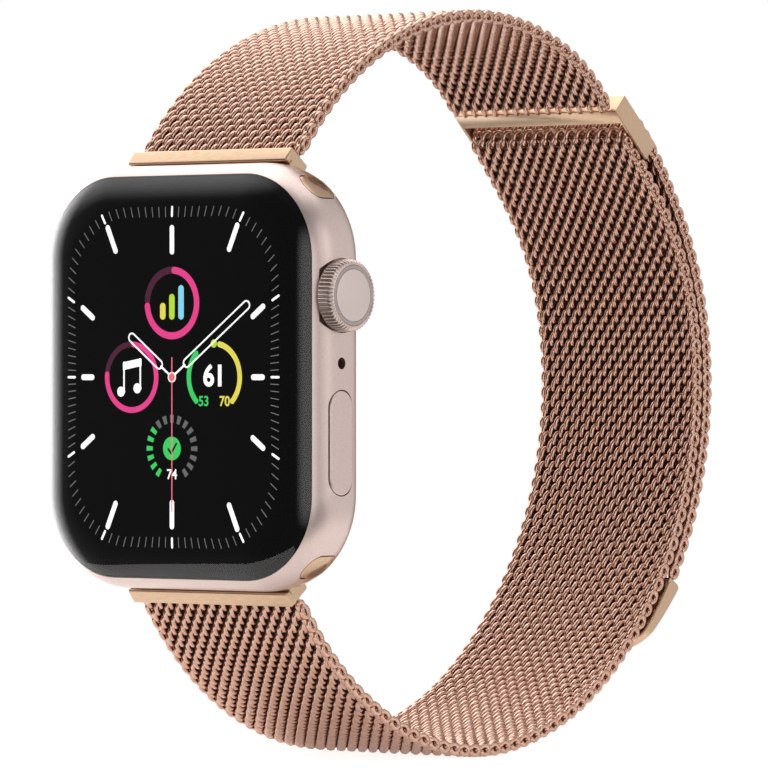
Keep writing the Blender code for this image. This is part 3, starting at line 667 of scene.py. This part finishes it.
crown_metal = grained("crown_aluminium", 0.07 * MM, ("#CDB6AE", "#DCC9C2"), (0.26, 0.34), 1.0, 0.08)
add_piece("crown_rim", crown_cap_mesh(), crown_metal, "crown", "rose_aluminium", "crown_cap", smooth=50)
disc_metal = grained("crown_disc_satin", 0.06 * MM, ("#D6C4BF", "#DDCDC8"), (0.42, 0.50), 0.8, 0.05)
add_piece("crown_face", disc_mesh("crown_face", CROWN_FACE - 0.29 * MM, CROWN_FACE, 0, 2.67 * MM, 0.06 * MM),
          disc_metal, "crown", "rose_aluminium", "crown_disc")
warm_plastic = grained("warm_grey_plastic", 0.3 * MM, ("#A79B97", "#B0A5A1"), (0.42, 0.52))
add_piece("crown_ring", disc_mesh("crown_ring", CROWN_FACE - 0.29 * MM, CROWN_FACE - 0.01 * MM, 2.69 * MM,
                                  3.09 * MM, 0.05 * MM),
          warm_plastic, "crown", "black_plastic", "crown_insulator")


# ---------------------------------------------------------------------------
# Side button. A flush capsule of the case's metal with a polished edge.
# ---------------------------------------------------------------------------

def side_button_mesh():
    half_y, half_z = (key_high.y - key_low.y) / 2, (key_high.z - key_low.z) / 2
    loops = []
    for x, inset in ((key_low.x, 0), (key_high.x - 0.14 * MM, 0), (key_high.x - 0.05 * MM, 0.05 * MM),
                     (key_high.x - 0.01 * MM, 0.14 * MM), (key_high.x, 0.3 * MM)):
        outline = shifted(capsule_outline(half_y - inset, half_z - inset), SIDE_LINE, BUTTON_Z)
        loops.append([Vector((x, y, z)) for y, z in outline])
    return loft("side_key", loops)


add_piece("side_key", side_button_mesh(), anodised, "side_key", "rose_aluminium", "side_button", smooth=50)


# ---------------------------------------------------------------------------
# Lugs. A pale gold bar slides in the case's channel, its ends flush with the
# corners; a plate leans out of the channel and holds the strap's end pin.
# ---------------------------------------------------------------------------

pale_gold = grained("pale_gold_plate", 0.12 * MM, ("#C4A486", "#CFB195"), (0.26, 0.34), 1.0, 0.05,
                    (0.15, 1, 1))


def lug_mesh():
    section = shifted(capsule_outline(2.0 * MM, 1.1 * MM), CHANNEL_Y, CHANNEL_Z)
    wing = leaning(block_mesh("wing", (-16 * MM, -0.9 * MM, 0), (16 * MM, 0.9 * MM, 3.6 * MM)))
    envelope = loft("envelope", [case_loop(-90 + 6 * step, 0.04 * MM) for step in range(1, 15)]
                    + [case_loop(SEAM_TURN * step / 6, 0.04 * MM) for step in range(7)])
    bar = cut_mesh(prism_x("bar", section, -22 * MM, 22 * MM), [envelope.copy()], 'INTERSECT')
    wing = cut_mesh(wing, [envelope], 'INTERSECT')
    neck = leaning(block_mesh("neck", (-11.0 * MM, -0.88 * MM, 0.5 * MM), (11.0 * MM, 0.88 * MM, 3.0 * MM)))
    head = block_mesh("head", (-10.9 * MM, -1.6 * MM, 2.72 * MM), (10.9 * MM, 1.6 * MM, 4.2 * MM))
    for corner in head.vertices:
        if corner.co.z < 3.0 * MM:
            corner.co.z += 0.32 * MM * (1 if corner.co.y > 0 else -1)
    head = bevelled(head, 0.25 * MM, 4)
    return merged("lug_metal", [bar, wing, neck, leaning(head)])


lug = lug_mesh()
add_piece("lug_top_metal", lug, pale_gold, "band_top", "gold_steel", "lug_top", smooth=40)
add_piece("lug_bottom_metal", half_turn(lug), pale_gold, "band_lower", "gold_steel", "lug_bottom", smooth=40)


# ---------------------------------------------------------------------------
# Strap. Flattened spirals of steel wire, wound one way and linked row into row,
# rose gold plated. The ends of each row are curled back to make a smooth edge.
# ---------------------------------------------------------------------------

LOOP_Y = 27.8 * MM
LOOP_Z = -0.5 * MM
WIRE_RADIUS = 0.285 * MM
ROW_PITCH = 0.87 * MM
SPIRAL_TURNS = 14
COIL_HALF_WIDTH = 0.73 * MM
COIL_HALF_DEPTH = 0.49 * MM
# How much of the sideways step the wire makes at its bends, so the visible strands stand straighter.
BEND_STEP = 0.085 * MM
STRAP_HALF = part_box("strap_top")[1][0]
TOP_STRAP = ((37.6, 38.4), (60, 38.7), (90, 38.9), (112, 38.5), (120, 37.9), (126.5, 36.95))
LOWER_STRAP = ((323.6, 37.8), (305, 38.4), (275, 39.2), (250, 38.9), (225, 38.2), (200, 38.0),
               (180, 38.0), (166, 37.9), (156, 37.5), (148, 36.9), (141, 36.5), (134.7, 36.45))
FLAP_STRAP = ((134.7, 39.15), (141, 39.15), (148, 39.15), (156, 39.4), (166, 39.7), (180, 39.8),
              (212.8, 39.8))


def radius_at(keys, angle):
    """Loop radius at an angle, on a smooth curve through (angle, radius) keys."""
    count = len(keys)
    slopes = []
    for i in range(count):
        before, after = keys[max(i - 1, 0)], keys[min(i + 1, count - 1)]
        slopes.append((after[1] - before[1]) / (after[0] - before[0]))
    for i in range(count - 1):
        (a0, r0), (a1, r1) = keys[i], keys[i + 1]
        t = (angle - a0) / (a1 - a0)
        if t <= 1 or i == count - 2:
            span = a1 - a0
            return ((2 * t**3 - 3 * t**2 + 1) * r0 + (t**3 - 2 * t**2 + t) * span * slopes[i]
                    + (3 * t**2 - 2 * t**3) * r1 + (t**3 - t**2) * span * slopes[i + 1])


def loop_point(angle, radius):
    turn = math.radians(angle)
    return LOOP_Y - radius * math.cos(turn), LOOP_Z + radius * math.sin(turn)


def loop_path(keys, steps=600):
    """Points (y, z) along a strap's middle."""
    angles = np.linspace(keys[0][0], keys[-1][0], steps)
    return np.array([loop_point(a, radius_at(keys, a) * MM) for a in angles])


def resample(path, distances):
    """Places, and unit directions along a path, at given distances from its start."""
    steps = np.linalg.norm(np.diff(path, axis=0), axis=1)
    lengths = np.concatenate([[0], np.cumsum(steps)])
    places = np.stack([np.interp(distances, lengths, path[:, i]) for i in (0, 1)], axis=1)
    slopes = np.gradient(path, lengths, axis=0)
    ways = np.stack([np.interp(distances, lengths, slopes[:, i]) for i in (0, 1)], axis=1)
    return places, ways / np.linalg.norm(ways, axis=1)[:, None], lengths[-1]


def tube_mesh(name, centres, radius, sides=7):
    """Round wire along many open lines of equal count, as one mesh with its ends closed."""
    lines, count, _ = centres.shape
    ways = np.gradient(centres, axis=1)
    ways /= np.linalg.norm(ways, axis=2)[..., None]
    frames = np.empty_like(ways)
    start = np.cross(ways[:, 0], np.array([0.0, 0.6, 0.8]))
    frames[:, 0] = start / np.linalg.norm(start, axis=1)[:, None]
    # Carry the first frame along each line, so the tube does not twist.
    for i in range(1, count):
        lean = frames[:, i - 1] - ways[:, i] * np.sum(frames[:, i - 1] * ways[:, i], axis=1)[:, None]
        frames[:, i] = lean / np.linalg.norm(lean, axis=1)[:, None]
    others = np.cross(ways, frames)
    angles = np.arange(sides) * 2 * np.pi / sides
    rings = (centres[:, :, None] + radius * (frames[:, :, None] * np.cos(angles)[None, None, :, None]
             + others[:, :, None] * np.sin(angles)[None, None, :, None]))
    index = np.arange(lines * count * sides).reshape(lines, count, sides)
    near, far = index[:, :-1], index[:, 1:]
    quads = np.stack([near, np.roll(near, -1, axis=2), np.roll(far, -1, axis=2), far], axis=-1).reshape(-1, 4)
    caps = np.concatenate([index[:, 0, ::-1], index[:, -1]])
    mesh = bpy.data.meshes.new(name)
    mesh.vertices.add(rings.size // 3)
    mesh.vertices.foreach_set("co", rings.astype(np.float32).ravel())
    loops = np.concatenate([quads.ravel(), caps.ravel()])
    sizes = np.concatenate([np.full(len(quads), 4), np.full(len(caps), sides)])
    mesh.loops.add(len(loops))
    mesh.loops.foreach_set("vertex_index", loops.astype(np.int32))
    mesh.polygons.add(len(sizes))
    mesh.polygons.foreach_set("loop_start", np.concatenate([[0], np.cumsum(sizes)[:-1]]).astype(np.int32))
    mesh.update(calc_edges=True)
    # Unwrapped wire: one thin strip per row, and its end caps in the strip's first cell.
    i, j, k = np.meshgrid(np.arange(lines), np.arange(count - 1), np.arange(sides), indexing='ij')
    u = np.stack([j, j, j + 1, j + 1], axis=-1) / (count - 1)
    v = (i[..., None] + 0.05 + 0.9 * np.stack([k, k + 1, k + 1, k], axis=-1) / sides) / lines
    cap_u = np.full((len(caps), sides), 0.5 / (count - 1))
    cap_v = np.repeat((np.tile(np.arange(lines), 2) + 0.5) / lines, sides).reshape(-1, sides)
    layer = mesh.uv_layers.new(name="OFBake")
    flat = np.stack([np.concatenate([u.ravel(), cap_u.ravel()]),
                     np.concatenate([v.ravel(), cap_v.ravel()])], axis=1)
    layer.data.foreach_set("uv", flat.astype(np.float32).ravel())
    return mesh


def woven_rows(path, distances, first_row, per_turn=11):
    """Wire centre lines of spiral rows at distances along a strap."""
    places, ways, _ = resample(path, distances)
    outward = np.stack([-ways[:, 1], ways[:, 0]], axis=1)
    # The same hand of winding on every length: the spirals run one way round the wire.
    hand = np.sign(np.sum(outward * (places - np.array([LOOP_Y, LOOP_Z])), axis=1))
    outward *= hand[:, None]
    count = (SPIRAL_TURNS + 2) * per_turn + 1
    phase = np.linspace(-1, SPIRAL_TURNS + 1, count)
    inside = np.clip(phase, 0, SPIRAL_TURNS)
    # Past the last full turn the spiral stops moving sideways and closes into a ring:
    # small and tight on every other row, open on the rows between.
    settle = np.clip(np.abs(phase - inside) * 2.0, 0, 1)
    lines = np.empty((len(distances), count, 3))
    for i in range(len(distances)):
        odd = (first_row + i) % 2
        edge = STRAP_HALF - WIRE_RADIUS - (0.0 if odd else 0.16 * MM)
        reach = edge - 0.22 * MM
        shrink = 1 - (0.10 if odd else 0.56) * settle
        depth = 1 - (0.0 if odd else 0.34) * settle
        turn = 2 * np.pi * (phase + 0.5 * odd)
        along = -hand[i] * COIL_HALF_WIDTH * np.cos(turn) * shrink
        out = COIL_HALF_DEPTH * np.sin(turn) * depth
        lines[i, :, 0] = (-reach + 2 * reach * inside / SPIRAL_TURNS
                          + BEND_STEP * np.sin(2 * turn) * (1 - settle)
                          + np.sign(phase - inside) * (edge - reach) * settle)
        lines[i, :, 1] = places[i, 0] + ways[i, 0] * along + outward[i, 0] * out
        lines[i, :, 2] = places[i, 1] + ways[i, 1] * along + outward[i, 1] * out
    return lines


rose_gold = grained("rose_gold_wire", 0.5 * MM, ("#C79C88", "#D3AE9C"), (0.17, 0.24), 1.0)


def weave(name, path, body, replaced, gaps):
    """Rows of spirals from one end of a strap to the other, evenly spaced between end gaps."""
    run = resample(path, np.array([0.0]))[2] - sum(gaps)
    count = round(run / ROW_PITCH) + 1
    distances = gaps[0] + np.linspace(0, run, count)
    batches = max(1, round(count / 68))
    limits = [round(count * i / batches) for i in range(batches + 1)]
    for batch, (low, high) in enumerate(zip(limits, limits[1:])):
        mesh = tube_mesh(name, woven_rows(path, distances[low:high], low), WIRE_RADIUS)
        mesh.shade_smooth()
        add_piece("%s_%d" % (name, batch + 1), mesh, rose_gold, body, "strap_steel", replaced, smooth=0)


def painted_shade_strip(name, path, body):
    """A dark sheet of painted shade in the middle of the weave: a thin strip inside the wires that stands in
    for the shadow between them, so no light comes through.
    """
    across = STRAP_HALF - 0.75 * MM
    outline = [(-across, -0.05 * MM), (across, -0.05 * MM), (across, 0.05 * MM), (-across, 0.05 * MM)]
    end = resample(path, np.array([0.0]))[2] - 0.5 * MM
    places, ways, _ = resample(path, np.linspace(0.6 * MM, end, 90))
    loops = [[Vector((x, y - way[1] * d, z + way[0] * d)) for x, d in outline]
             for (y, z), way in zip(places, ways)]
    add_piece(name, loft(name, loops), weave_shadow, body, "strap_steel", smooth=30)


# Painted shade: the dark brown of the strip inside the weave stands in for the shadow between the wires.
weave_shadow = grained("weave_shadow", 0.3 * MM, ("#2A120B", "#3B1C13"), (0.55, 0.7))
# Strips of painted shade inside each length of strap, where the weave's shadow falls.
painted_shade_strip("strap_top_painted_shade", loop_path(TOP_STRAP), "band_top")
painted_shade_strip("strap_lower_painted_shade", loop_path(LOWER_STRAP), "band_lower")
painted_shade_strip("strap_flap_painted_shade", loop_path(FLAP_STRAP), "flap")
END_GAP = 0.62 * MM
FOLD_GAP = ROW_PITCH / 2
weave("strap_top_weave", loop_path(TOP_STRAP), "band_top", "strap_top", (END_GAP, END_GAP))
weave("strap_lower_weave", loop_path(LOWER_STRAP), "band_lower", "strap_lower", (END_GAP, FOLD_GAP))
weave("strap_flap_weave", loop_path(FLAP_STRAP), "flap", "strap_flap", (FOLD_GAP, 0.6 * MM))

# The fold over the frame's lower bar: half a circle of rows between the lower strap and the flap.
FOLD_ANGLE, FOLD_RADIUS = 134.2, 37.8 * MM
fold_start = np.array(loop_point(LOWER_STRAP[-1][0], LOWER_STRAP[-1][1] * MM))
fold_end = np.array(loop_point(FLAP_STRAP[0][0], FLAP_STRAP[0][1] * MM))
fold_middle = (fold_start + fold_end) / 2
side = (fold_start - fold_middle)
ahead = np.array([side[1], -side[0]])
if np.dot(ahead, np.array(loop_point(FOLD_ANGLE - 5, FOLD_RADIUS)) - fold_middle) < 0:
    ahead = -ahead
fold_turns = np.linspace(0, np.pi, 60)
fold_path = fold_middle + side * np.cos(fold_turns)[:, None] + ahead * np.sin(fold_turns)[:, None]
fold_run = resample(fold_path, np.array([0.0]))[2]
fold_rows = FOLD_GAP + np.linspace(0, fold_run - 2 * FOLD_GAP, 5)
fold_mesh = tube_mesh("strap_fold_weave", woven_rows(fold_path, fold_rows, 1), WIRE_RADIUS)
fold_mesh.shade_smooth()
fold = linked("strap_fold_weave", fold_mesh)
fold_mesh.materials.append(rose_gold)
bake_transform(fold)


# ---------------------------------------------------------------------------
# Buckle frame. A thin pressed frame, pale gold: the upper bar is pinned to the
# top strap's end, the lower strap folds over the thin lower bar.
# ---------------------------------------------------------------------------

FRAME_ANGLE = 132.8
FRAME_RADIUS = 37.95 * MM
FRAME_HALF = (11.35 * MM, 1.2 * MM, 3.8 * MM)


def on_loop(mesh, angle, radius):
    """Set a mesh on the loop: its Y points outwards, its Z back towards the top lug."""
    y, z = loop_point(angle, radius)
    mesh.transform(Matrix.Translation((0, y, z)) @ Matrix.Rotation(math.pi - math.radians(angle), 4, 'X'))
    return mesh


def buckle_frame_mesh():
    wide, deep, tall = FRAME_HALF
    inner = wide - 0.35 * MM
    frame_block = block_mesh("frame", (-wide, -deep, -tall), (wide, deep, tall))
    slot = block_mesh("slot", (-inner, -5 * MM, -0.5 * MM), (inner, 5 * MM, 1.8 * MM))
    under = block_mesh("under", (-inner, -5 * MM, -6 * MM), (inner, -0.5 * MM, -0.4 * MM))
    over = block_mesh("over", (-inner, 0.15 * MM, -6 * MM), (inner, 5 * MM, -0.4 * MM))
    metal = bevelled(cut_mesh(frame_block, [slot, under, over]), 0.09 * MM, 3)
    return on_loop(metal, FRAME_ANGLE, FRAME_RADIUS)


add_piece("buckle_frame_metal", buckle_frame_mesh(), pale_gold, "band_top", "gold_steel", "buckle_frame")


# ---------------------------------------------------------------------------
# Clasp. A curved gold tab at the strap's free end, thinner towards its rounded
# tip; three magnets sit in its inner side under a thin plate.
# ---------------------------------------------------------------------------

CLASP_ANGLES = (213.5, 228.6)
CLASP_INNER = 39.05 * MM
CLASP_OUTER = (41.0 * MM, 39.75 * MM)
CLASP_HALF = 11.2 * MM
CLASP_CORNER = 4.0 * MM


def clasp_mesh():
    first, last = CLASP_ANGLES
    run = math.radians(last - first) * CLASP_INNER
    edge = 0.22 * MM
    loops = []
    for step in range(29):
        share = step / 28
        to_end = min(run * (1 - share), CLASP_CORNER)
        half = CLASP_HALF - CLASP_CORNER + math.sqrt(CLASP_CORNER ** 2 - (CLASP_CORNER - to_end) ** 2)
        outer = CLASP_OUTER[0] + (CLASP_OUTER[1] - CLASP_OUTER[0]) * share
        angle = first + (last - first) * share
        # A soft first and last loop rounds the ends over.
        tuck = edge if step in (0, 28) else 0.0
        section = rounded_outline(half - tuck, (outer - CLASP_INNER) / 2 - tuck * 0.6, edge, 4, 3)
        middle = (outer + CLASP_INNER) / 2
        loops.append([Vector((x, *loop_point(angle, middle + r))) for x, r in section])
    return loft("clasp_tab", loops)


def clasp_cutters():
    centre = sum(CLASP_ANGLES) / 2
    recess = block_mesh("recess", (-9.9 * MM, -3 * MM, -4.2 * MM), (9.9 * MM, 0.2 * MM, 4.6 * MM))
    cutters = [recess]
    for x in (-6.5, 0, 6.5):
        cutters.append(block_mesh("magnet_pocket", ((x - 3.0) * MM, -0.1 * MM, -2.3 * MM),
                                  ((x + 3.0) * MM, 0.7 * MM, 4.1 * MM)))
    return [on_loop(cutter, centre, CLASP_INNER) for cutter in cutters]


add_piece("clasp_tab", cut_mesh(clasp_mesh(), clasp_cutters()), pale_gold, "flap", "gold_steel",
          "clasp_housing", smooth=45)


# ---------------------------------------------------------------------------
# Back. A black ceramic cover round a domed crystal with its sensor windows.
# ---------------------------------------------------------------------------

polished_ceramic = grained("polished_ceramic", 0.6 * MM, ("#0B0B0C", "#111112"), (0.10, 0.16))
cover_loops = [flat_loop((15.6 - inset) * MM, (16.3 - inset) * MM, (6.7 - inset) * MM, y * MM)
               for inset, y in ((0, -2.1), (0, -1.32), (0.05, -1.24), (0.14, -1.2))]
cover_body = loft("back_cover_body", cover_loops)


def ring_y(radius, y, count=96, centre=(0, 0)):
    """A circle that faces along Y."""
    return [Vector((x, y, z)) for x, z in shifted(disc_outline(radius, count), *centre)]


seat = loft("seat", [ring_y(12.75 * MM, y) for y in (-5 * MM, 2 * MM)])
add_piece("back_cover_body", cut_mesh(cover_body, [seat]), polished_ceramic, "watch_case", "black_ceramic",
          "back_cover")


def crystal_mesh():
    steps = ((12.6, -2.1), (12.6, -1.45), (12.5, -1.2), (12.0, -0.86), (11.0, -0.5), (10.0, -0.25),
             (8.6, -0.07), (7.0, 0.0))
    return loft("back_crystal_body", [ring_y(radius * MM, y * MM) for radius, y in steps])


def dark_crystal():
    """Dark crystal with faint rings where the sensor zones meet."""
    material, tree, shader = new_material("dark_crystal", "#08080A", 0.06)
    place = add_node(tree, "ShaderNodeTexCoord")
    rings = add_node(tree, "ShaderNodeTexWave", {"wave_type": 'RINGS', "rings_direction": 'Y', "Scale": 55.0},
                     Vector=place.outputs["Object"])
    ramp = add_node(tree, "ShaderNodeValToRGB", Fac=rings.outputs["Fac"])
    ramp.color_ramp.elements[0].position = 0.0
    ramp.color_ramp.elements[0].color = linear("#1B1B1F")
    ramp.color_ramp.elements[1].position = 0.12
    ramp.color_ramp.elements[1].color = linear("#070709")
    tree.links.new(ramp.outputs["Color"], shader.inputs["Base Color"])
    return material


add_piece("back_crystal_body", crystal_mesh(), dark_crystal(), "watch_case", "black_glass", "back_crystal",
          smooth=40)

sensor_green = grained("sensor_filter_glass", 0.3 * MM, ("#0E1F18", "#16302A"), (0.08, 0.14))
windows = []
for index in range(8):
    angle = 2 * math.pi * (index + 0.5) / 8
    centre = (5.0 * MM * math.cos(angle), 5.0 * MM * math.sin(angle))
    windows.append(loft("window", [ring_y(0.95 * MM, y, 32, centre) for y in (-0.3 * MM, 0.01 * MM)]))
add_piece("sensor_windows", merged("sensor_windows", windows), sensor_green, "watch_case", "black_glass")


# ---------------------------------------------------------------------------
# Release buttons, pins and the parts inside the case, in their own finishes.
# ---------------------------------------------------------------------------

def release_button_mesh():
    loops = []
    for y, inset in ((-2.9, 0), (-1.95, 0), (-1.84, 0.06), (-1.8, 0.2)):
        outline = shifted(capsule_outline((3.25 - inset) * MM, (0.9 - inset) * MM), 0, RELEASE_Z)
        loops.append([Vector((x, y * MM, z)) for x, z in outline])
    return loft("release_key", loops)


release = release_button_mesh()
add_piece("release_key_top", release, anodised, "release_top", "rose_aluminium", "release_button_top")
add_piece("release_key_bottom", half_turn(release), anodised, "release_bottom", "rose_aluminium",
          "release_button_bottom")

inner_finishes = {
    "plain_steel": grained("satin_steel", 0.15 * MM, ("#A9A9AB", "#B9B9BC"), (0.26, 0.36), 1.0, 0.0,
                           (1, 1, 0.2)),
    "magnet_nickel": grained("nickel_plate", 0.2 * MM, ("#B6B2AC", "#C2BEB8"), (0.16, 0.24), 1.0),
    "copper": grained("enamelled_copper", 0.25 * MM, ("#B8663C", "#C97A4E"), (0.28, 0.40), 1.0, 0.0,
                      (1, 1, 6)),
    "black_plastic": grained("black_moulding", 0.12 * MM, ("#161617", "#1E1E20"), (0.50, 0.62), 0.0, 0.2),
    "circuit": grained("solder_mask", 0.8 * MM, ("#0F2A1C", "#1B4630"), (0.36, 0.55), 0.0, 0.1),
    "battery_foil": grained("battery_foil", 0.7 * MM, ("#4A4A4E", "#5B5B60"), (0.35, 0.55), 0.6, 0.3),
    "seal_rubber": grained("seal_rubber", 0.1 * MM, ("#0E0E0E", "#171717"), (0.62, 0.75), 0.0, 0.2),
    "gold_steel": pale_gold,
}
dark_cloth = grained("acoustic_cloth", 0.06 * MM, ("#0A0A0A", "#161616"), (0.6, 0.8), 0.0, 0.4)
for part in frame["record"]["subparts"]:
    node = frame["nodes"][part["node"]]
    cloth = part["node"] in ("microphone_mesh", "speaker_mesh")
    finish = dark_cloth if cloth else inner_finishes.get(part["material_slot"])
    if finish:
        node.data.materials.clear()
        node.data.materials.append(finish)


# ---------------------------------------------------------------------------
# Studio: a pale floor under the strap, soft lights, and the camera.
# ---------------------------------------------------------------------------

low, high = (Vector(corner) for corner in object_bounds())
floor_builder = bmesh.new()
bmesh.ops.create_circle(floor_builder, cap_ends=True, segments=96, radius=65 * MM)
floor_mesh = bpy.data.meshes.new("floor")
floor_builder.to_mesh(floor_mesh)
floor_builder.free()
floor = linked("floor", floor_mesh)
floor.location = (0, LOOP_Y, low.z)
paper, paper_tree, paper_shader = new_material("pale_paper", "#ECEAE7", 0.9)
paper_light = add_node(paper_tree, "ShaderNodeLightPath")
paper_glow = add_node(paper_tree, "ShaderNodeMath", {"operation": 'MULTIPLY_ADD'})
paper_tree.links.new(paper_light.outputs["Is Camera Ray"], paper_glow.inputs[0])
paper_glow.inputs[1].default_value = 0.4
paper_glow.inputs[2].default_value = 0.45
paper_shader.inputs["Emission Color"].default_value = (1.0, 1.0, 1.0, 1.0)
paper_tree.links.new(paper_glow.outputs["Value"], paper_shader.inputs["Emission Strength"])
floor_mesh.materials.append(paper)
floor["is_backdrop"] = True

world = bpy.data.worlds.new("studio")
bpy.context.scene.world = world
world.use_nodes = True
sky = world.node_tree
back = sky.nodes["Background"]
back.inputs["Color"].default_value = (1.0, 1.0, 1.0, 1.0)
path_kind = add_node(sky, "ShaderNodeLightPath")
direction = add_node(sky, "ShaderNodeTexCoord")
parts = add_node(sky, "ShaderNodeSeparateXYZ", Vector=direction.outputs["Generated"])
# Dark in front of the dial and brighter behind, with four soft patches of light: where each
# patch lies, the cosine at its edge, and how much light it adds at its middle.
SKY_PATCHES = (((-0.62, -0.13, 0.77), 0.75, 1.4), ((0.6, -0.8, 0.0), 0.85, 1.6),
               ((-1.0, 0.25, 0.0), 0.75, 2.2), ((0.64, 0.77, 0.0), 0.5, 0.4))
fade = add_node(sky, "ShaderNodeMapRange", {"From Min": -0.8, "From Max": 0.5, "To Min": 0.12, "To Max": 0.5},
                Value=parts.outputs["Y"])
strength = add_node(sky, "ShaderNodeMapRange", {"To Max": 1.0}, Value=path_kind.outputs["Is Camera Ray"])
glow = fade.outputs["Result"]
for toward, edge, amount in SKY_PATCHES:
    facing = add_node(sky, "ShaderNodeVectorMath", {"operation": 'DOT_PRODUCT'})
    sky.links.new(direction.outputs["Generated"], facing.inputs[0])
    facing.inputs[1].default_value = Vector(toward).normalized()
    patch = add_node(sky, "ShaderNodeMapRange", {"interpolation_type": 'SMOOTHSTEP', "From Min": edge,
                                                 "To Max": amount}, Value=facing.outputs["Value"])
    total = add_node(sky, "ShaderNodeMath", {"operation": 'ADD'})
    sky.links.new(glow, total.inputs[0])
    sky.links.new(patch.outputs["Result"], total.inputs[1])
    glow = total.outputs["Value"]
sky.links.new(glow, strength.inputs["To Min"])
sky.links.new(strength.outputs["Result"], back.inputs["Strength"])

VIEW_ANGLE = math.radians(39.43)
CAMERA_DISTANCE = 0.661
toward_camera = Vector((math.sin(VIEW_ANGLE), -math.cos(VIEW_ANGLE), 0.001))
aim_point = Vector((17.0, 3.3, -0.7)) * MM
camera_data = bpy.data.cameras.new("camera")
camera_data.lens = 301
camera_data.sensor_width = 36
camera_data.clip_start = 0.01
camera = linked("camera", camera_data)
camera.location = aim_point + toward_camera * CAMERA_DISTANCE
camera.rotation_euler = (-toward_camera).to_track_quat('-Z', 'Y').to_euler()
bpy.context.scene.camera = camera

LIGHT_TARGET = Vector((0, 25 * MM, 0))
# Where each area light hangs, its width and its power in watts.
AREA_LIGHTS = (("overhead", (0.0, 0.1, 0.7), 0.7, 1.9), ("key", (-0.45, 0.4, 0.45), 0.4, 1.2),
               ("side", (0.75, 0.0, 0.2), 0.6, 0.9))
for name, place, size, power in AREA_LIGHTS:
    light = bpy.data.lights.new(name, 'AREA')
    light.size = size
    light.energy = power
    lamp = linked(name, light)
    lamp.location = place
    lamp.rotation_euler = (LIGHT_TARGET - Vector(place)).to_track_quat('-Z', 'Y').to_euler()
    lamp.visible_camera = False

bpy.context.scene.view_settings.view_transform = 'Standard'
